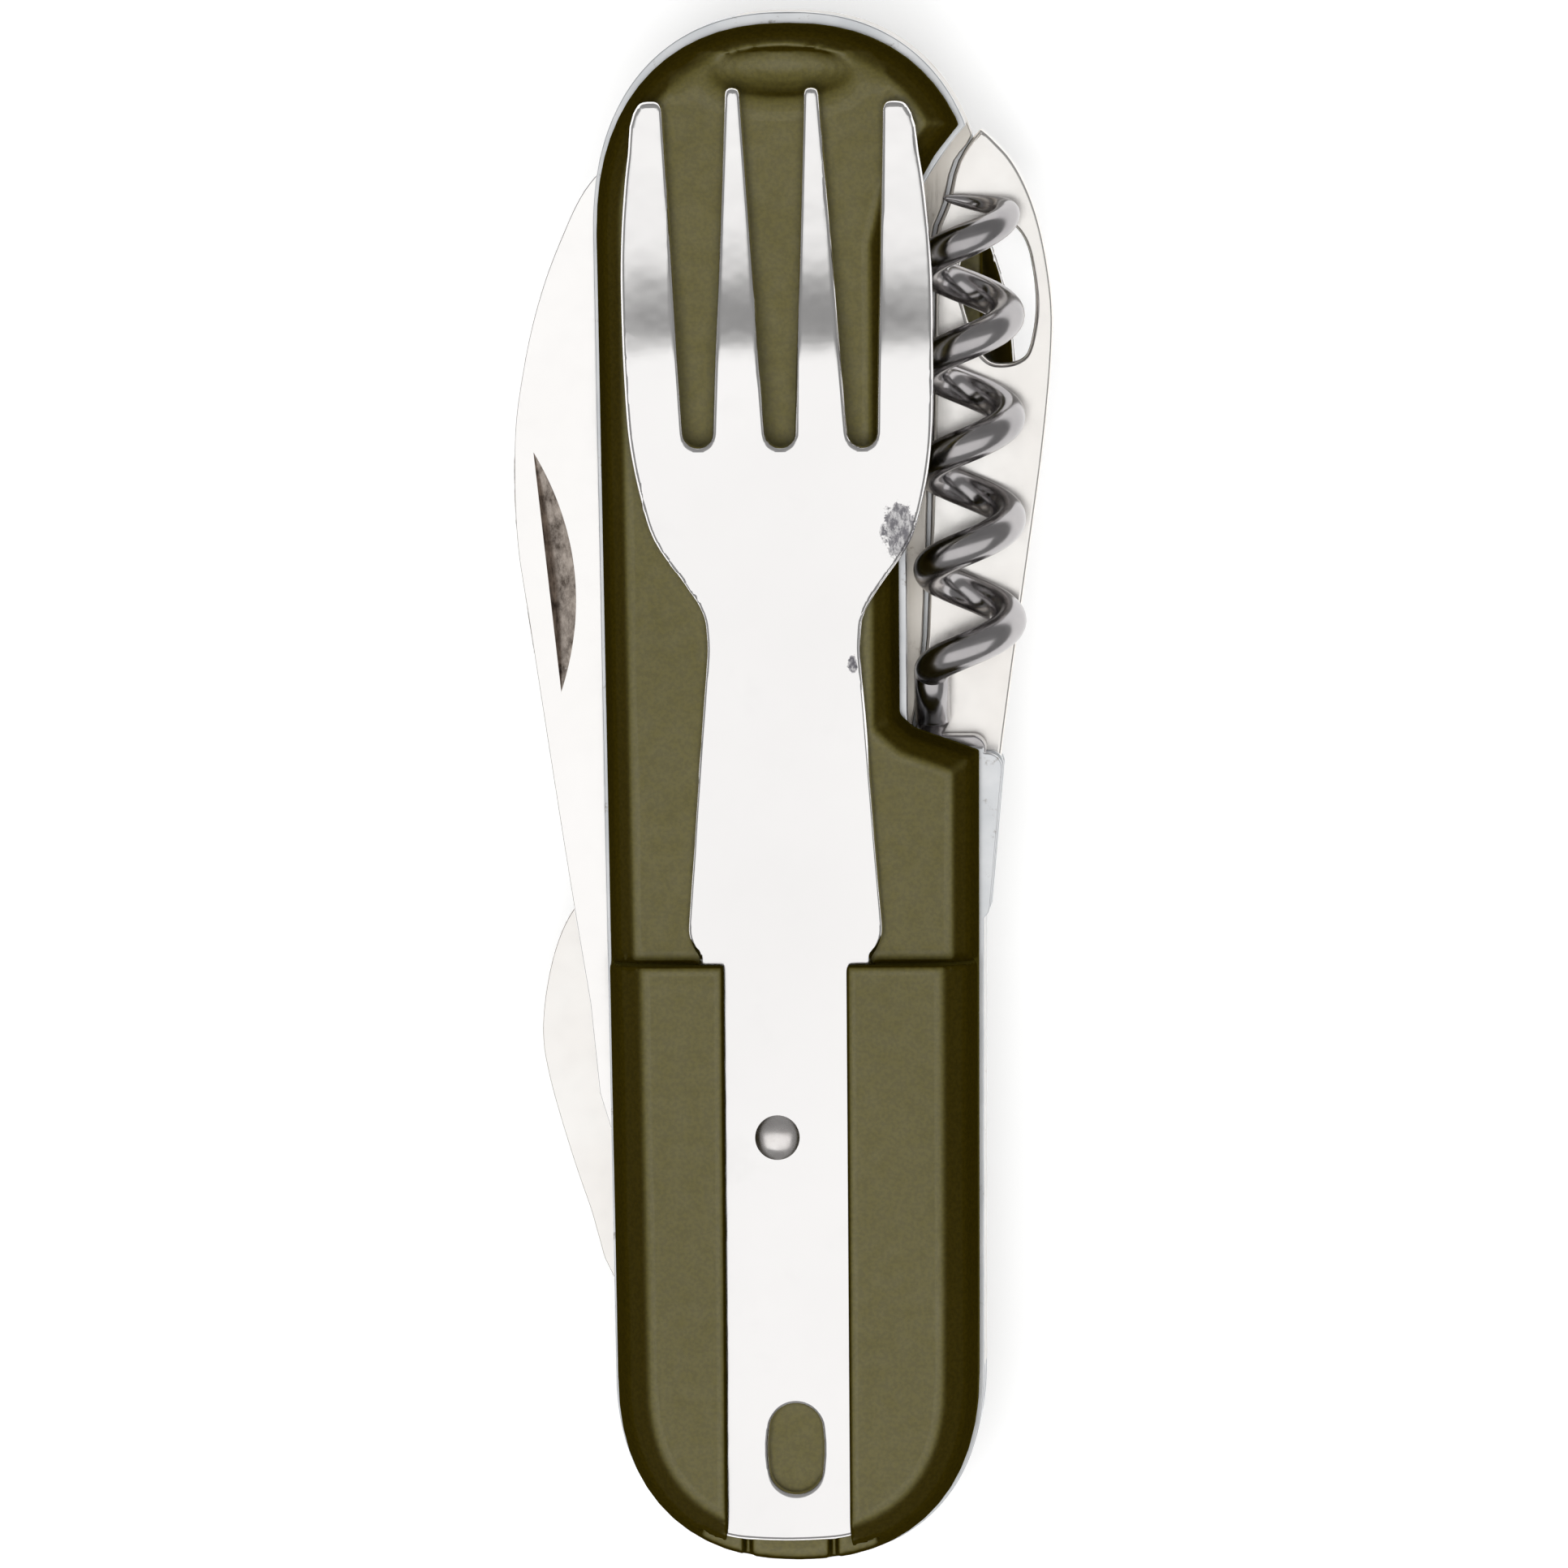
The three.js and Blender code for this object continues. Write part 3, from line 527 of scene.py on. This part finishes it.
def olive_plastic():
    """Moulded plastic with a fine grain, with painted shade: its bevels and walls are coloured darker
    than its flats, and they are duller too.
    """
    m = Nodes("olive_plastic")
    cloud = m.noise(70, detail=3)
    base = m.ramp(cloud, (0.3, (0.088, 0.074, 0.0135)), (0.7, (0.098, 0.083, 0.018)))
    speck = m.ramp(m.noise(3600, detail=2), (0.38, 0.88), (0.62, 1.10))
    base = m.mix(1.0, base, speck, "MULTIPLY")
    streaks = m.noise(55, detail=6, rough=0.7, vector=m.mapped((3.0, 0.7, 1)))
    scuff = m.ramp(streaks, (0.62, 0.0), (0.80, 1.0))
    base = m.mix(m.maths("MULTIPLY", scuff, 0.16), base, (0.20, 0.18, 0.11))
    level = m.levelness()
    # Painted shade: faces that turn away from Z are coloured darker, bevels most and upright walls a
    # little; level flats keep their colour.
    painted_wall_shade, bevel, white = (0.80, 0.76, 0.60), (0.38, 0.32, 0.12), (1.0, 1.0, 1.0)
    painted_darkening = m.ramp(level, (0.0, painted_wall_shade), (0.14, painted_wall_shade), (0.26, bevel), (0.76, bevel), (0.975, white))
    flat = m.ramp(level, (0.76, 0.0), (0.975, 1.0))
    m.feed("Base Color", m.mix(1.0, base, painted_darkening, "MULTIPLY"))
    m.feed("Specular IOR Level", m.ramp(flat, (0.0, 0.0), (1.0, 0.52)))
    m.feed("Roughness", m.ramp(m.noise(900, detail=4), (0.3, 0.36), (0.7, 0.46)))
    grain = m.bump(m.cells(4200), 0.00002, 0.30)
    grain = m.bump(m.noise(2600, detail=3), 0.00002, 0.35, under=grain)
    m.feed("Normal", grain)
    return m.material


def scratches(m, scale, turn, stretch=(1, 60, 1), low=0.52, high=0.60):
    """Thin straight lines along one direction, as a grey mask."""
    vector = m.mapped(tuple(1 / s for s in stretch), (0, 0, turn))
    return m.ramp(m.noise(scale, detail=3, rough=0.65, vector=vector), (low, 0.0), (high, 1.0))


def polished_sheet(name, painted_reflections=()):
    """Hand-polished sheet, slightly wavy and scratched.

    Its painted dark reflections, ragged dark patches, are given as (centre, size, depth of the
    darkening), in metres.
    """
    m = Nodes(name)
    tint = m.ramp(m.noise(55, detail=4), (0.3, (0.90, 0.885, 0.875)), (0.7, (0.94, 0.925, 0.915)))
    smudge = m.ramp(m.noise(160, detail=6, rough=0.7), (0.58, 0.0), (0.72, 1.0))
    tint = m.mix(m.maths("MULTIPLY", smudge, 0.12), tint, (0.74, 0.73, 0.72))
    rough = m.ramp(m.noise(420, detail=5, rough=0.7), (0.35, 0.09), (0.70, 0.15))
    # Painted dark reflections: each patch darkens the sheet's colour and makes it rougher.
    for centre, size, painted_darkening in painted_reflections:
        reflection_breakup = m.noise(2600, detail=5, rough=0.8, vector=m.mapped((1, 0.5, 1)))
        broken = m.ramp(reflection_breakup, (0.40, 0.45), (0.56, 1.0))
        mask = m.maths("MULTIPLY", m.maths("MULTIPLY", m.patch(centre, size, 1500), broken), painted_darkening)
        tint = m.mix(mask, tint, (0.07, 0.065, 0.085))
        rough = m.mix(mask, rough, (0.4, 0.4, 0.4))
    m.feed("Base Color", tint)
    m.feed("Roughness", rough)
    lines = scratches(m, 900, math.radians(4))
    cross = scratches(m, 700, math.radians(-58), low=0.60, high=0.66)
    normal = m.bump(lines, 0.0000012, 0.35)
    normal = m.bump(cross, 0.0000012, 0.3, under=normal)
    m.feed("Normal", m.bump(m.noise(260, detail=2), 0.00005, 1.0, under=normal))
    m.set(Metallic=1.0)
    return m.material


def knife_pivot():
    """The middle of the knife's hinge, in millimetres."""
    return Vector(joint("knife_hinge")["pos_m"]) / MM


def nick_ends():
    """The far and the near end of the nail nick on the knife's top face, in millimetres."""
    pivot = knife_pivot()
    top_z = span("knife_blade")[1].z
    far_left, far_up = 19.65, 69.6
    near_left, near_up = 17.8, 52.5
    far = Vector((pivot.x - far_left, pivot.y + far_up, top_z))
    near = Vector((pivot.x - near_left, pivot.y + near_up, top_z))
    return far, near


def blade_steel():
    """Bright ground steel, with painted shade in the nail nick: below the top face there it is coloured
    dark and mottled.
    """
    m = Nodes("blade_steel")
    tint = m.ramp(m.noise(40, detail=4), (0.3, (0.975, 0.955, 0.935)), (0.7, (1.0, 0.985, 0.97)))
    far, near = nick_ends()
    middle = (far + near) / 2
    nick_side = 0.6
    middle.x += nick_side
    half = (near - far).length / 2 * MM
    turn = math.atan2(near.x - far.x, far.y - near.y)
    # Painted shade in the nail nick: a ragged patch along the nick, taken only below the top face, is
    # coloured dark and mottled and made rougher.
    around = m.patch(tuple(middle * MM), (half * 0.56, half * 2.8, 1), 200, turn=turn)
    parts = m.add("ShaderNodeSeparateXYZ")
    m.link(m.coords, parts.inputs[0])
    skin = 0.03
    below = m.maths("LESS_THAN", parts.outputs[2], (middle.z - skin) * MM)
    ground = m.maths("MULTIPLY", around, below)
    nick_shade_noise = m.noise(1100, detail=6, rough=0.75, vector=m.mapped((1.0, 0.6, 1.0)))
    wear_and_painted_shade = m.ramp(nick_shade_noise, (0.36, (0.10, 0.080, 0.066)), (0.62, (0.46, 0.40, 0.35)))
    m.feed("Base Color", m.mix(ground, tint, wear_and_painted_shade))
    fine = m.ramp(m.noise(500, detail=4, rough=0.7), (0.3, 0.13), (0.7, 0.20))
    m.feed("Roughness", m.mix(ground, fine, (0.34, 0.34, 0.34)))
    lines = scratches(m, 1500, math.radians(86), stretch=(1, 40, 1), low=0.40, high=0.65)
    m.feed("Normal", m.bump(lines, 0.0000010, 0.3))
    m.set(Metallic=1.0)
    return m.material


def tool_steel():
    m = Nodes("tool_steel")
    tint = m.ramp(m.noise(70, detail=5), (0.3, (0.90, 0.865, 0.825)), (0.7, (0.95, 0.93, 0.90)))
    spots = m.ramp(m.noise(900, detail=6, rough=0.75), (0.70, 0.0), (0.78, 1.0))
    m.feed("Base Color", m.mix(m.maths("MULTIPLY", spots, 0.25), tint, (0.52, 0.44, 0.35)))
    m.feed("Roughness", m.ramp(m.noise(600, detail=4), (0.3, 0.16), (0.7, 0.24)))
    lines = scratches(m, 1200, math.radians(10), stretch=(1, 30, 1), low=0.42, high=0.66)
    m.feed("Normal", m.bump(lines, 0.0000012, 0.35))
    m.set(Metallic=1.0)
    return m.material


def spring_steel():
    m = Nodes("spring_steel")
    tint = m.ramp(m.noise(220, detail=5), (0.3, (0.62, 0.58, 0.52)), (0.7, (0.76, 0.72, 0.66)))
    stain = m.ramp(m.noise(420, detail=7, rough=0.75), (0.58, 0.0), (0.70, 1.0))
    tint = m.mix(m.maths("MULTIPLY", stain, 0.6), tint, (0.30, 0.23, 0.16))
    m.feed("Base Color", tint)
    m.feed("Roughness", m.ramp(stain, (0.0, 0.30), (1.0, 0.6)))
    lines = scratches(m, 2200, math.radians(90), stretch=(1, 25, 1), low=0.40, high=0.62)
    m.feed("Normal", m.bump(lines, 0.000004, 0.5))
    m.set(Metallic=1.0)
    return m.material


def liner_zinc():
    m = Nodes("liner_zinc")
    tint = m.ramp(m.noise(300, detail=5), (0.3, (0.66, 0.68, 0.70)), (0.7, (0.82, 0.83, 0.84)))
    # Real worn patches on the zinc, darker and rougher.
    wear_and_painted_shade = m.ramp(m.noise(900, detail=6, rough=0.7), (0.60, 0.0), (0.72, 1.0))
    m.feed("Base Color", m.mix(m.maths("MULTIPLY", wear_and_painted_shade, 0.8), tint, (0.34, 0.30, 0.25)))
    m.feed("Roughness", m.ramp(wear_and_painted_shade, (0.0, 0.30), (1.0, 0.5)))
    m.feed("Normal", m.bump(m.noise(1600, detail=3), 0.000006, 0.3))
    m.set(Metallic=1.0)
    return m.material


def pin_steel():
    m = Nodes("pin_steel")
    tint = m.ramp(m.noise(800, detail=4), (0.3, (0.5, 0.49, 0.47)), (0.7, (0.66, 0.65, 0.62)))
    m.feed("Base Color", tint)
    m.feed("Roughness", m.ramp(m.noise(1500, detail=3), (0.3, 0.28), (0.7, 0.42)))
    rings = m.noise(3000, detail=2, vector=m.mapped((0.1, 0.1, 1)))
    m.feed("Normal", m.bump(rings, 0.000003, 0.4))
    m.set(Metallic=1.0)
    return m.material


def rivet_steel():
    m = Nodes("rivet_steel")
    tint = m.ramp(m.noise(900, detail=5), (0.3, (0.74, 0.70, 0.68)), (0.7, (0.88, 0.85, 0.83)))
    m.feed("Base Color", tint)
    m.feed("Roughness", m.ramp(m.noise(1300, detail=4), (0.3, 0.20), (0.7, 0.32)))
    m.feed("Normal", m.bump(m.noise(1800, detail=3), 0.000006, 0.4))
    m.set(Metallic=1.0)
    return m.material


def dark_nickel():
    m = Nodes("dark_nickel")
    tint = m.ramp(m.noise(260, detail=4), (0.3, (0.40, 0.385, 0.39)), (0.7, (0.52, 0.50, 0.50)))
    m.feed("Base Color", tint)
    m.feed("Roughness", m.ramp(m.noise(700, detail=5, rough=0.7), (0.3, 0.15), (0.7, 0.27)))
    m.feed("Normal", m.bump(m.noise(900, detail=4, rough=0.6), 0.000008, 0.35))
    m.set(Metallic=1.0)
    return m.material


# ------------------------------------------------------------------ knife


def edge_wedge(start, slope_per_mm, face_z, side, top_y):
    """What grinding takes off one face of the blade, as a long prism."""
    reach = 12.0
    far_x = start.x + reach
    drop = side * slope_per_mm * reach
    clear_z = face_z + side
    section = ((start.x, face_z), (far_x, face_z - drop), (far_x, clear_z), (start.x, clear_z))
    bm = bmesh.new()
    near_end, far_end = ([bm.verts.new((x, y, z)) for x, z in section] for y in (start.y, top_y))
    join_rings(bm, (near_end, far_end), len(section))
    bm.faces.new(near_end)
    bm.faces.new(far_end[::-1])
    return mesh_of(bm, "wedge")


def nick_wheel(far, near, dip, lean):
    """A grinding wheel that leaves a crescent nick, straight on its left side, between two points."""
    right = UP.cross(near - far).normalized()
    half_chord = (near - far).length / 2
    radius = (half_chord**2 + dip**2) / (2 * dip)
    axis = right * math.cos(lean) + UP * math.sin(lean)
    upward = UP * math.cos(lean) - right * math.sin(lean)
    centre = (far + near) / 2 + upward * (radius - dip)
    thickness = 6.0
    bm = bmesh.new()
    bmesh.ops.create_cone(
        bm,
        cap_ends=True,
        segments=720,
        radius1=radius,
        radius2=radius,
        depth=thickness,
    )
    turn = UP.rotation_difference(axis).to_matrix().to_4x4()
    place = Matrix.Translation(centre + axis * thickness / 2)
    bmesh.ops.transform(bm, matrix=place @ turn, verts=bm.verts)
    return mesh_of(bm, "wheel")


def knife_piece(material):
    """The knife: a flat blank with its edge ground from both faces and a nail nick near the spine."""
    bevel = 0.12
    spine_to_grind, pivot_to_grind = 11.5, 16
    edge_thickness, grind_width = 0.3, 6.5
    past_tip = 5
    nick_depth, wheel_lean = 0.8, math.radians(24)
    low, high = span("knife_blade")
    outlines = stamped_outlines("knife_blade", lambda f: f.normal.z < -0.05)
    mesh = plate_mesh("knife", outlines, low.z, high.z, bevel)
    start = knife_pivot() + Vector((-spine_to_grind, pivot_to_grind, 0))
    slope = (high.z - low.z - edge_thickness) / 2 / grind_width
    for face_z, side in ((high.z, 1), (low.z, -1)):
        wedge = edge_wedge(start, slope, face_z, side, high.y + past_tip)
        mesh = subtract(mesh, wedge, "knife")
    mesh = subtract(mesh, nick_wheel(*nick_ends(), nick_depth, wheel_lean), "knife")
    return finish_piece("knife", mesh, "knife", ["knife_blade"], material)


# ------------------------------------------------------------------ scales


def scale_piece(name, node, material):
    """A moulded scale: the frame's solid with every edge softened, the thumb hollow most of all."""
    hollow_half_width = 7.5
    hollow_start, hollow_end = 7.2, 2.0
    hollow_passes = 45
    bm = cad_mesh(node)
    mesh = bpy.data.meshes.new(name)
    bm.to_mesh(mesh)
    bm.free()
    mesh = with_modifiers(
        mesh,
        name,
        ("REMESH", {"mode": "VOXEL", "voxel_size": 0.2, "use_smooth_shade": True}),
        ("SMOOTH", {"factor": 0.5, "iterations": 5}),
    )
    top_y = span(node)[1].y
    bm = bmesh.new()
    bm.from_mesh(mesh)
    hollow = [
        v
        for v in bm.verts
        if abs(v.co.x) < hollow_half_width and hollow_end < top_y - v.co.y < hollow_start
    ]
    for _ in range(hollow_passes):
        bmesh.ops.smooth_vert(bm, verts=hollow, factor=0.5, use_axis_z=True)
    bm.to_mesh(mesh)
    bm.free()
    mesh = with_modifiers(mesh, name, ("DECIMATE", {"ratio": 0.3}))
    return finish_piece(
        name,
        mesh,
        "handle",
        [node],
        material,
        weighted=False,
        degrees=80,
    )


# ------------------------------------------------------------------ fork and spoon


def lift_profile(node, probe_x):
    """Height of a sheet's middle along Y, read from the frame by looking down on it."""
    bm = cad_mesh(node)
    tree = BVHTree.FromBMesh(bm)
    low, high = span(node)
    samples = []
    start_inset, end_inset, clear = 0.4, 0.3, 10
    for y in steps_between(low.y + start_inset, high.y - end_inset, 1.0):
        top = tree.ray_cast(Vector((probe_x, y, high.z + clear)), -UP)[0]
        bottom = tree.ray_cast(Vector((probe_x, y, low.z - clear)), UP)[0]
        if top and bottom:
            samples.append((y, (top.z + bottom.z) / 2))
    bm.free()
    middle = [
        (y, (before + 2 * z + after) / 4)
        for (_, before), (y, z), (_, after) in zip(samples, samples[1:], samples[2:])
    ]
    return [samples[0], *middle, samples[-1]]


def interpolated(samples, y):
    """The height at y on the broken line through the samples."""
    if y <= samples[0][0]:
        return samples[0][1]
    for (y0, z0), (y1, z1) in zip(samples, samples[1:]):
        if y <= y1:
            return z0 + (z1 - z0) * (y - y0) / (y1 - y0)
    return samples[-1][1]


def fork_piece(material):
    """The fork: a stamped sheet with its tines pressed into a bow and curled across."""
    tip_length, tip_radius, corner_radius = 3.5, 0.8, 0.5
    edge_radius = 0.42
    inner_tine_x = 2.9
    curl = 0.5
    flat_length = 60
    low, high = span("fork")
    centre_x = (low.x + high.x) / 2
    bm = cad_mesh("fork")
    loops = boundary_loops(bm, lambda f: f.normal.z > 0.6)
    bm.free()

    def radius_at(point):
        return tip_radius if point.y > high.y - tip_length else corner_radius

    rounded = filleted(without_straights(loops[0]), radius_at)
    outer = softened(rounded, corner=math.radians(40))
    holes = [softened(points) for points in loops[1:]]
    samples = lift_profile("fork", centre_x + inner_tine_x)
    flat_z = samples[0][1]
    most = max(z for _, z in samples) - flat_z
    half = (high.x - low.x) / 2

    def height(x, y):
        lift = interpolated(samples, y) - flat_z
        across = (x - centre_x) / half
        return flat_z + lift - curl * (lift / most) * across**2

    lines_y = steps_between(low.y + flat_length, high.y, 0.7)
    lines_x = [centre_x + side * x for side in (-1, 1) for x in (1.5, 3.2, 5.7, 7.6, 9.4)]
    mesh = sheet_mesh("fork_sheet", [outer, *holes], SHEET, edge_radius, lines_y, lines_x, height)
    return finish_piece("fork_sheet", mesh, "fork_body", ["fork"], material, degrees=50)


def spoon_piece(material):
    """The spoon: a stamped sheet with an egg-shaped bowl pressed into it."""
    skin = 0.02
    corner_radius, edge_radius = 0.5, 0.4
    low, high = span("spoon")
    centre_x = (low.x + high.x) / 2
    bm = cad_mesh("spoon")

    def on_top(face):
        return face.normal.z > 0.99 and face.calc_center_median().z > high.z - skin

    loops = boundary_loops(bm, on_top)
    bm.free()
    rounded = filleted(without_straights(loops[0]), corner_radius)
    outer = softened(rounded, corner=math.radians(40))
    holes = [softened(points) for points in loops[1:] if max(p.y for p in points) < 0]
    bowl_length = 45.4
    bowl_y = high.y - bowl_length / 2
    rim_share, gridded_share = 0.992, 0.62
    bowl_half = (high.x - low.x) / 2 * rim_share
    depth_play = 0.1
    depth = high.z - low.z - SHEET - depth_play
    flat_z = high.z - SHEET / 2
    egg = 0.13
    fullness, lip_softness, reach = 2.6, 0.012, 1.4
    grid = 0.75

    def height(x, y):
        v = (y - bowl_y) / (bowl_length / 2)
        u = (x - centre_x) / (bowl_half * (1 + egg * v))
        r = math.hypot(u, v)
        inside = 1 - r**fullness
        soft = (inside + math.sqrt(inside**2 + lip_softness)) / 2
        return flat_z - depth * soft if r < reach else flat_z

    lines_y = steps_between(bowl_y - bowl_length * gridded_share, high.y, grid)
    lines_x = steps_between(low.x, high.x, grid)
    mesh = sheet_mesh("spoon_sheet", [outer, *holes], SHEET, edge_radius, lines_y, lines_x, height)
    return finish_piece("spoon_sheet", mesh, "spoon_body", ["spoon"], material, degrees=50)


def rivet_piece(name, node, body, outward, material):
    """A domed rivet head, turned as one smooth profile."""
    low, high = span(node)
    centre = (low + high) / 2
    radius = (high.x - low.x) / 2
    head, rim, rise = 0.85, 0.13, 0.62
    seat = high.z - head if outward > 0 else low.z + head
    tail = low.z if outward > 0 else high.z
    shank, under_head = radius * 0.58, radius * 0.96
    ball = (radius**2 + rise**2) / (2 * rise)
    widest = math.asin(radius / ball)
    profile = [(0.0, tail), (shank, tail), (shank, seat), (under_head, seat)]
    dome_steps = 16
    for i in range(dome_steps + 1):
        angle = widest * (1 - i / dome_steps)
        height = rim + ball * (math.cos(angle) - math.cos(widest))
        profile.append((ball * math.sin(angle), seat + outward * height))
    bm = bmesh.new()
    sides = 48
    right, ahead = Vector((1, 0, 0)), Vector((0, 1, 0))
    rings = [ring_of(bm, Vector((centre.x, centre.y, z)), right, ahead, r, sides) for r, z in profile]
    join_rings(bm, rings, sides)
    mesh = mesh_of(bm, name)
    return finish_piece(name, mesh, body, [node], material, weighted=False, degrees=50)


# ------------------------------------------------------------------ corkscrew


def worm_piece(material):
    """The corkscrew's wire, wound by its pitch from the tang to a sharp point."""
    wire = 2.45
    pitch = 7.11
    turns = 4.5
    per_turn = 72
    shank_length = 7.5
    point_turns, point_pitch = 5 / 14, 0.4
    shank_radius = 0.75
    low, high = span("corkscrew_worm")
    tang_low, tang_high = span("corkscrew_tang")
    radius = (high.x - low.x - wire) / 2
    axis_x = (low.x + high.x) / 2
    axis_z = high.z - wire / 2 - radius
    left_x = axis_x - radius
    tang_z = (tang_low.z + tang_high.z) / 2
    tang_top = tang_high.y
    start_y = low.y + shank_length
    # The wire's foot lies straight in the tang, then rises to meet the coil.
    foot = [
        Vector((left_x, tang_top - 2.9, tang_z)),
        Vector((left_x, tang_top - 1.0, tang_z)),
        Vector((left_x, tang_top + 0.2, tang_z)),
        Vector((left_x, tang_top + 1.4, tang_z + 0.25)),
        Vector((left_x, start_y - 1.3, axis_z - 0.35)),
    ]
    steps = round(turns * per_turn)
    helix = []
    for i in range(steps + round(per_turn * point_turns) + 1):
        angle = -math.pi / 2 + 2 * math.pi * i / per_turn
        done = (min(i, steps) + point_pitch * max(0, i - steps)) / per_turn
        x = axis_x + radius * math.sin(angle)
        z = axis_z + radius * math.cos(angle)
        helix.append(Vector((x, start_y + pitch * done, z)))
    lead = catmull([foot[0] * 2 - foot[1], *foot, *helix[:2]], pieces=8)
    points = lead + helix[1:]
    taper_turns = 0.62
    taper = round(per_turn * taper_turns)
    tip_share, tip_roundness = 0.06, 0.55
    swell_start, swell_length = 0.05, 0.9
    radii = []
    for i, point in enumerate(points):
        from_tip = min(1.0, (len(points) - 1 - i) / taper)
        size = wire / 2 * (tip_share + (1 - tip_share) * from_tip**tip_roundness)
        swell = (point.y - tang_top - swell_start) / swell_length
        swell = max(0.0, min(1.0, swell))
        radii.append(min(size, shank_radius + (wire / 2 - shank_radius) * swell))
    mesh = swept_rod("worm_wire", points, radii, sides=28)
    return finish_piece(
        "worm_wire",
        mesh,
        "corkscrew",
        ["corkscrew_worm"],
        material,
        weighted=False,
        degrees=60,
    )


def catmull(points, pieces):
    """Points of a smooth curve through all but the first and last of the given points."""
    result = []
    for p0, p1, p2, p3 in zip(points, points[1:], points[2:], points[3:]):
        for k in range(pieces):
            t = k / pieces
            result.append(
                0.5
                * (
                    2 * p1
                    + (p2 - p0) * t
                    + (2 * p0 - 5 * p1 + 4 * p2 - p3) * t**2
                    + (3 * p1 - p0 - 3 * p2 + p3) * t**3
                )
            )
    return result


# ------------------------------------------------------------------ pieces

olive = olive_plastic()
# Painted dark reflections on the fork head: centre, size and depth of darkening of each, in metres.
fork_painted_reflections = (
    ((0.00835, 0.0184, 0.021), (0.0023, 0.0042, 1), 0.85),
    ((0.0050, 0.0090, 0.019), (0.0007, 0.0013, 1), 0.9),
)
fork_steel = polished_sheet("fork_steel", fork_painted_reflections)
spoon_steel = polished_sheet("spoon_steel")
blade = blade_steel()
tool = tool_steel()
spring = spring_steel()
zinc = liner_zinc()
pin = pin_steel()
nickel = dark_nickel()
rivet = rivet_steel()

scale_piece("scale_front", "front_scale", olive)
scale_piece("scale_back", "back_scale", olive)
for liner in ("front_liner", "middle_liner", "back_liner"):
    plate_piece(liner.replace("liner", "plate"), liner, "handle", zinc, bevel=0.1)
plate_piece("knife_spring_bar", "knife_backspring", "handle", spring, bevel=0.12)
plate_piece("opener_spring_bar", "opener_backspring", "handle", spring, bevel=0.12)
knife_piece(blade)
plate_piece("tin_opener", "can_opener", "can_tool", tool, bevel=0.12)
plate_piece("cap_lifter", "bottle_opener", "bottle_tool", tool, bevel=0.3)
plate_piece("worm_tang", "corkscrew_tang", "corkscrew", nickel, bevel=0.15)
worm_piece(nickel)
fork_piece(fork_steel)
spoon_piece(spoon_steel)
rivet_piece("fork_stud", "fork_rivet", "fork_body", 1, rivet)
rivet_piece("spoon_stud", "spoon_rivet", "spoon_body", -1, rivet)

for name in ("blade_pivot_pin", "tool_pivot_pin", "spring_pin", "top_pin"):
    materials = frame["nodes"][name].data.materials
    materials.clear()
    materials.append(pin)


# ------------------------------------------------------------------ studio


def area_light(name, place, target, size, power):
    """A rectangular lamp at a place, turned to face its target."""
    light = bpy.data.lights.new(name, "AREA")
    light.shape = "RECTANGLE"
    light.size, light.size_y = size
    light.energy = power
    obj = new_object(name, light)
    obj.location = place
    obj.rotation_euler = (Vector(target) - Vector(place)).to_track_quat("-Z", "Y").to_euler()
    return obj


def studio():
    """A pale table under one large soft box, with a dim room round it."""
    half = 3.0
    below = 0.0001
    corners = [(-half, -half, 0), (half, -half, 0), (half, half, 0), (-half, half, 0)]
    floor = bpy.data.meshes.new("floor")
    floor.from_pydata(corners, [], [(0, 1, 2, 3)])
    obj = new_object("floor", floor)
    paper = Nodes("floor_paper")
    paper.feed("Base Color", paper.ramp(paper.noise(30), (0.3, 0.60), (0.7, 0.62)))
    paper.set(Roughness=0.9, Emission_Color=(1, 1, 1, 1), Emission_Strength=0.62, Specular_IOR_Level=0.0)
    obj.data.materials.append(paper.material)
    obj.location.z = -below
    centre_x, top, long = -0.05, 1.30, 3.0
    glow("top_box", (centre_x, -0.67, top), (long, 1.54), 0.75)
    near = 0.10
    cards = ((0.07, 0.70), (0.07, 0.60), (0.07, 0.40), (0.08, 0.17), (0.70, 0.04))
    for index, (wide, radiance) in enumerate(cards):
        glow(f"far_card_{index}", (centre_x, near + wide / 2, top), (long, wide), radiance)
        near += wide
    fill("key_fill", (-0.03, -0.12, 1.35), (0.75, 0.75), 0.95)
    world = bpy.data.worlds.new("studio")
    world.use_nodes = True
    sky = world.node_tree.nodes["Background"].inputs
    sky["Color"].default_value = (1, 1, 1, 1)
    sky["Strength"].default_value = 0.25
    bpy.context.scene.world = world
    world.cycles_visibility.diffuse = False
    bpy.context.scene.view_settings.view_transform = "Standard"


def glow(name, place, size, radiance):
    """A card of a given brightness that shows in polished faces."""
    below = (place[0], place[1], 0)
    light = area_light(name, place, below, size, radiance * math.pi * size[0] * size[1])
    light.visible_diffuse = False


def fill(name, place, size, level):
    """Soft light on matt faces only; a level matt white face under it shines at `level`."""
    power = level * math.pi**2 * Vector(place).length_squared
    light = area_light(name, place, (0, 0, 0), size, power)
    light.visible_glossy = False


def camera():
    """Looks down on the fork's side, a little from the tines' end and from the corkscrew's side."""
    lean_x, lean_y, roll = math.radians(2.4), math.radians(4.0), math.radians(0.4)
    distance = 1.15
    field = 0.10897
    aim = Vector((0.00018, 0.00065, 0.0231))
    sensor = 36
    back = Vector((math.tan(lean_x), math.tan(lean_y), 1)).normalized()
    data = bpy.data.cameras.new("camera")
    data.sensor_width = sensor
    data.lens = sensor * distance / field
    data.clip_end = 20
    obj = new_object("camera", data)
    up = Vector((math.sin(roll), math.cos(roll), 0))
    right = up.cross(back).normalized()
    true_up = back.cross(right)
    turn = Matrix((right, true_up, back)).transposed().to_4x4()
    obj.matrix_world = Matrix.Translation(aim + back * distance) @ turn
    bpy.context.scene.camera = obj


studio()
camera()
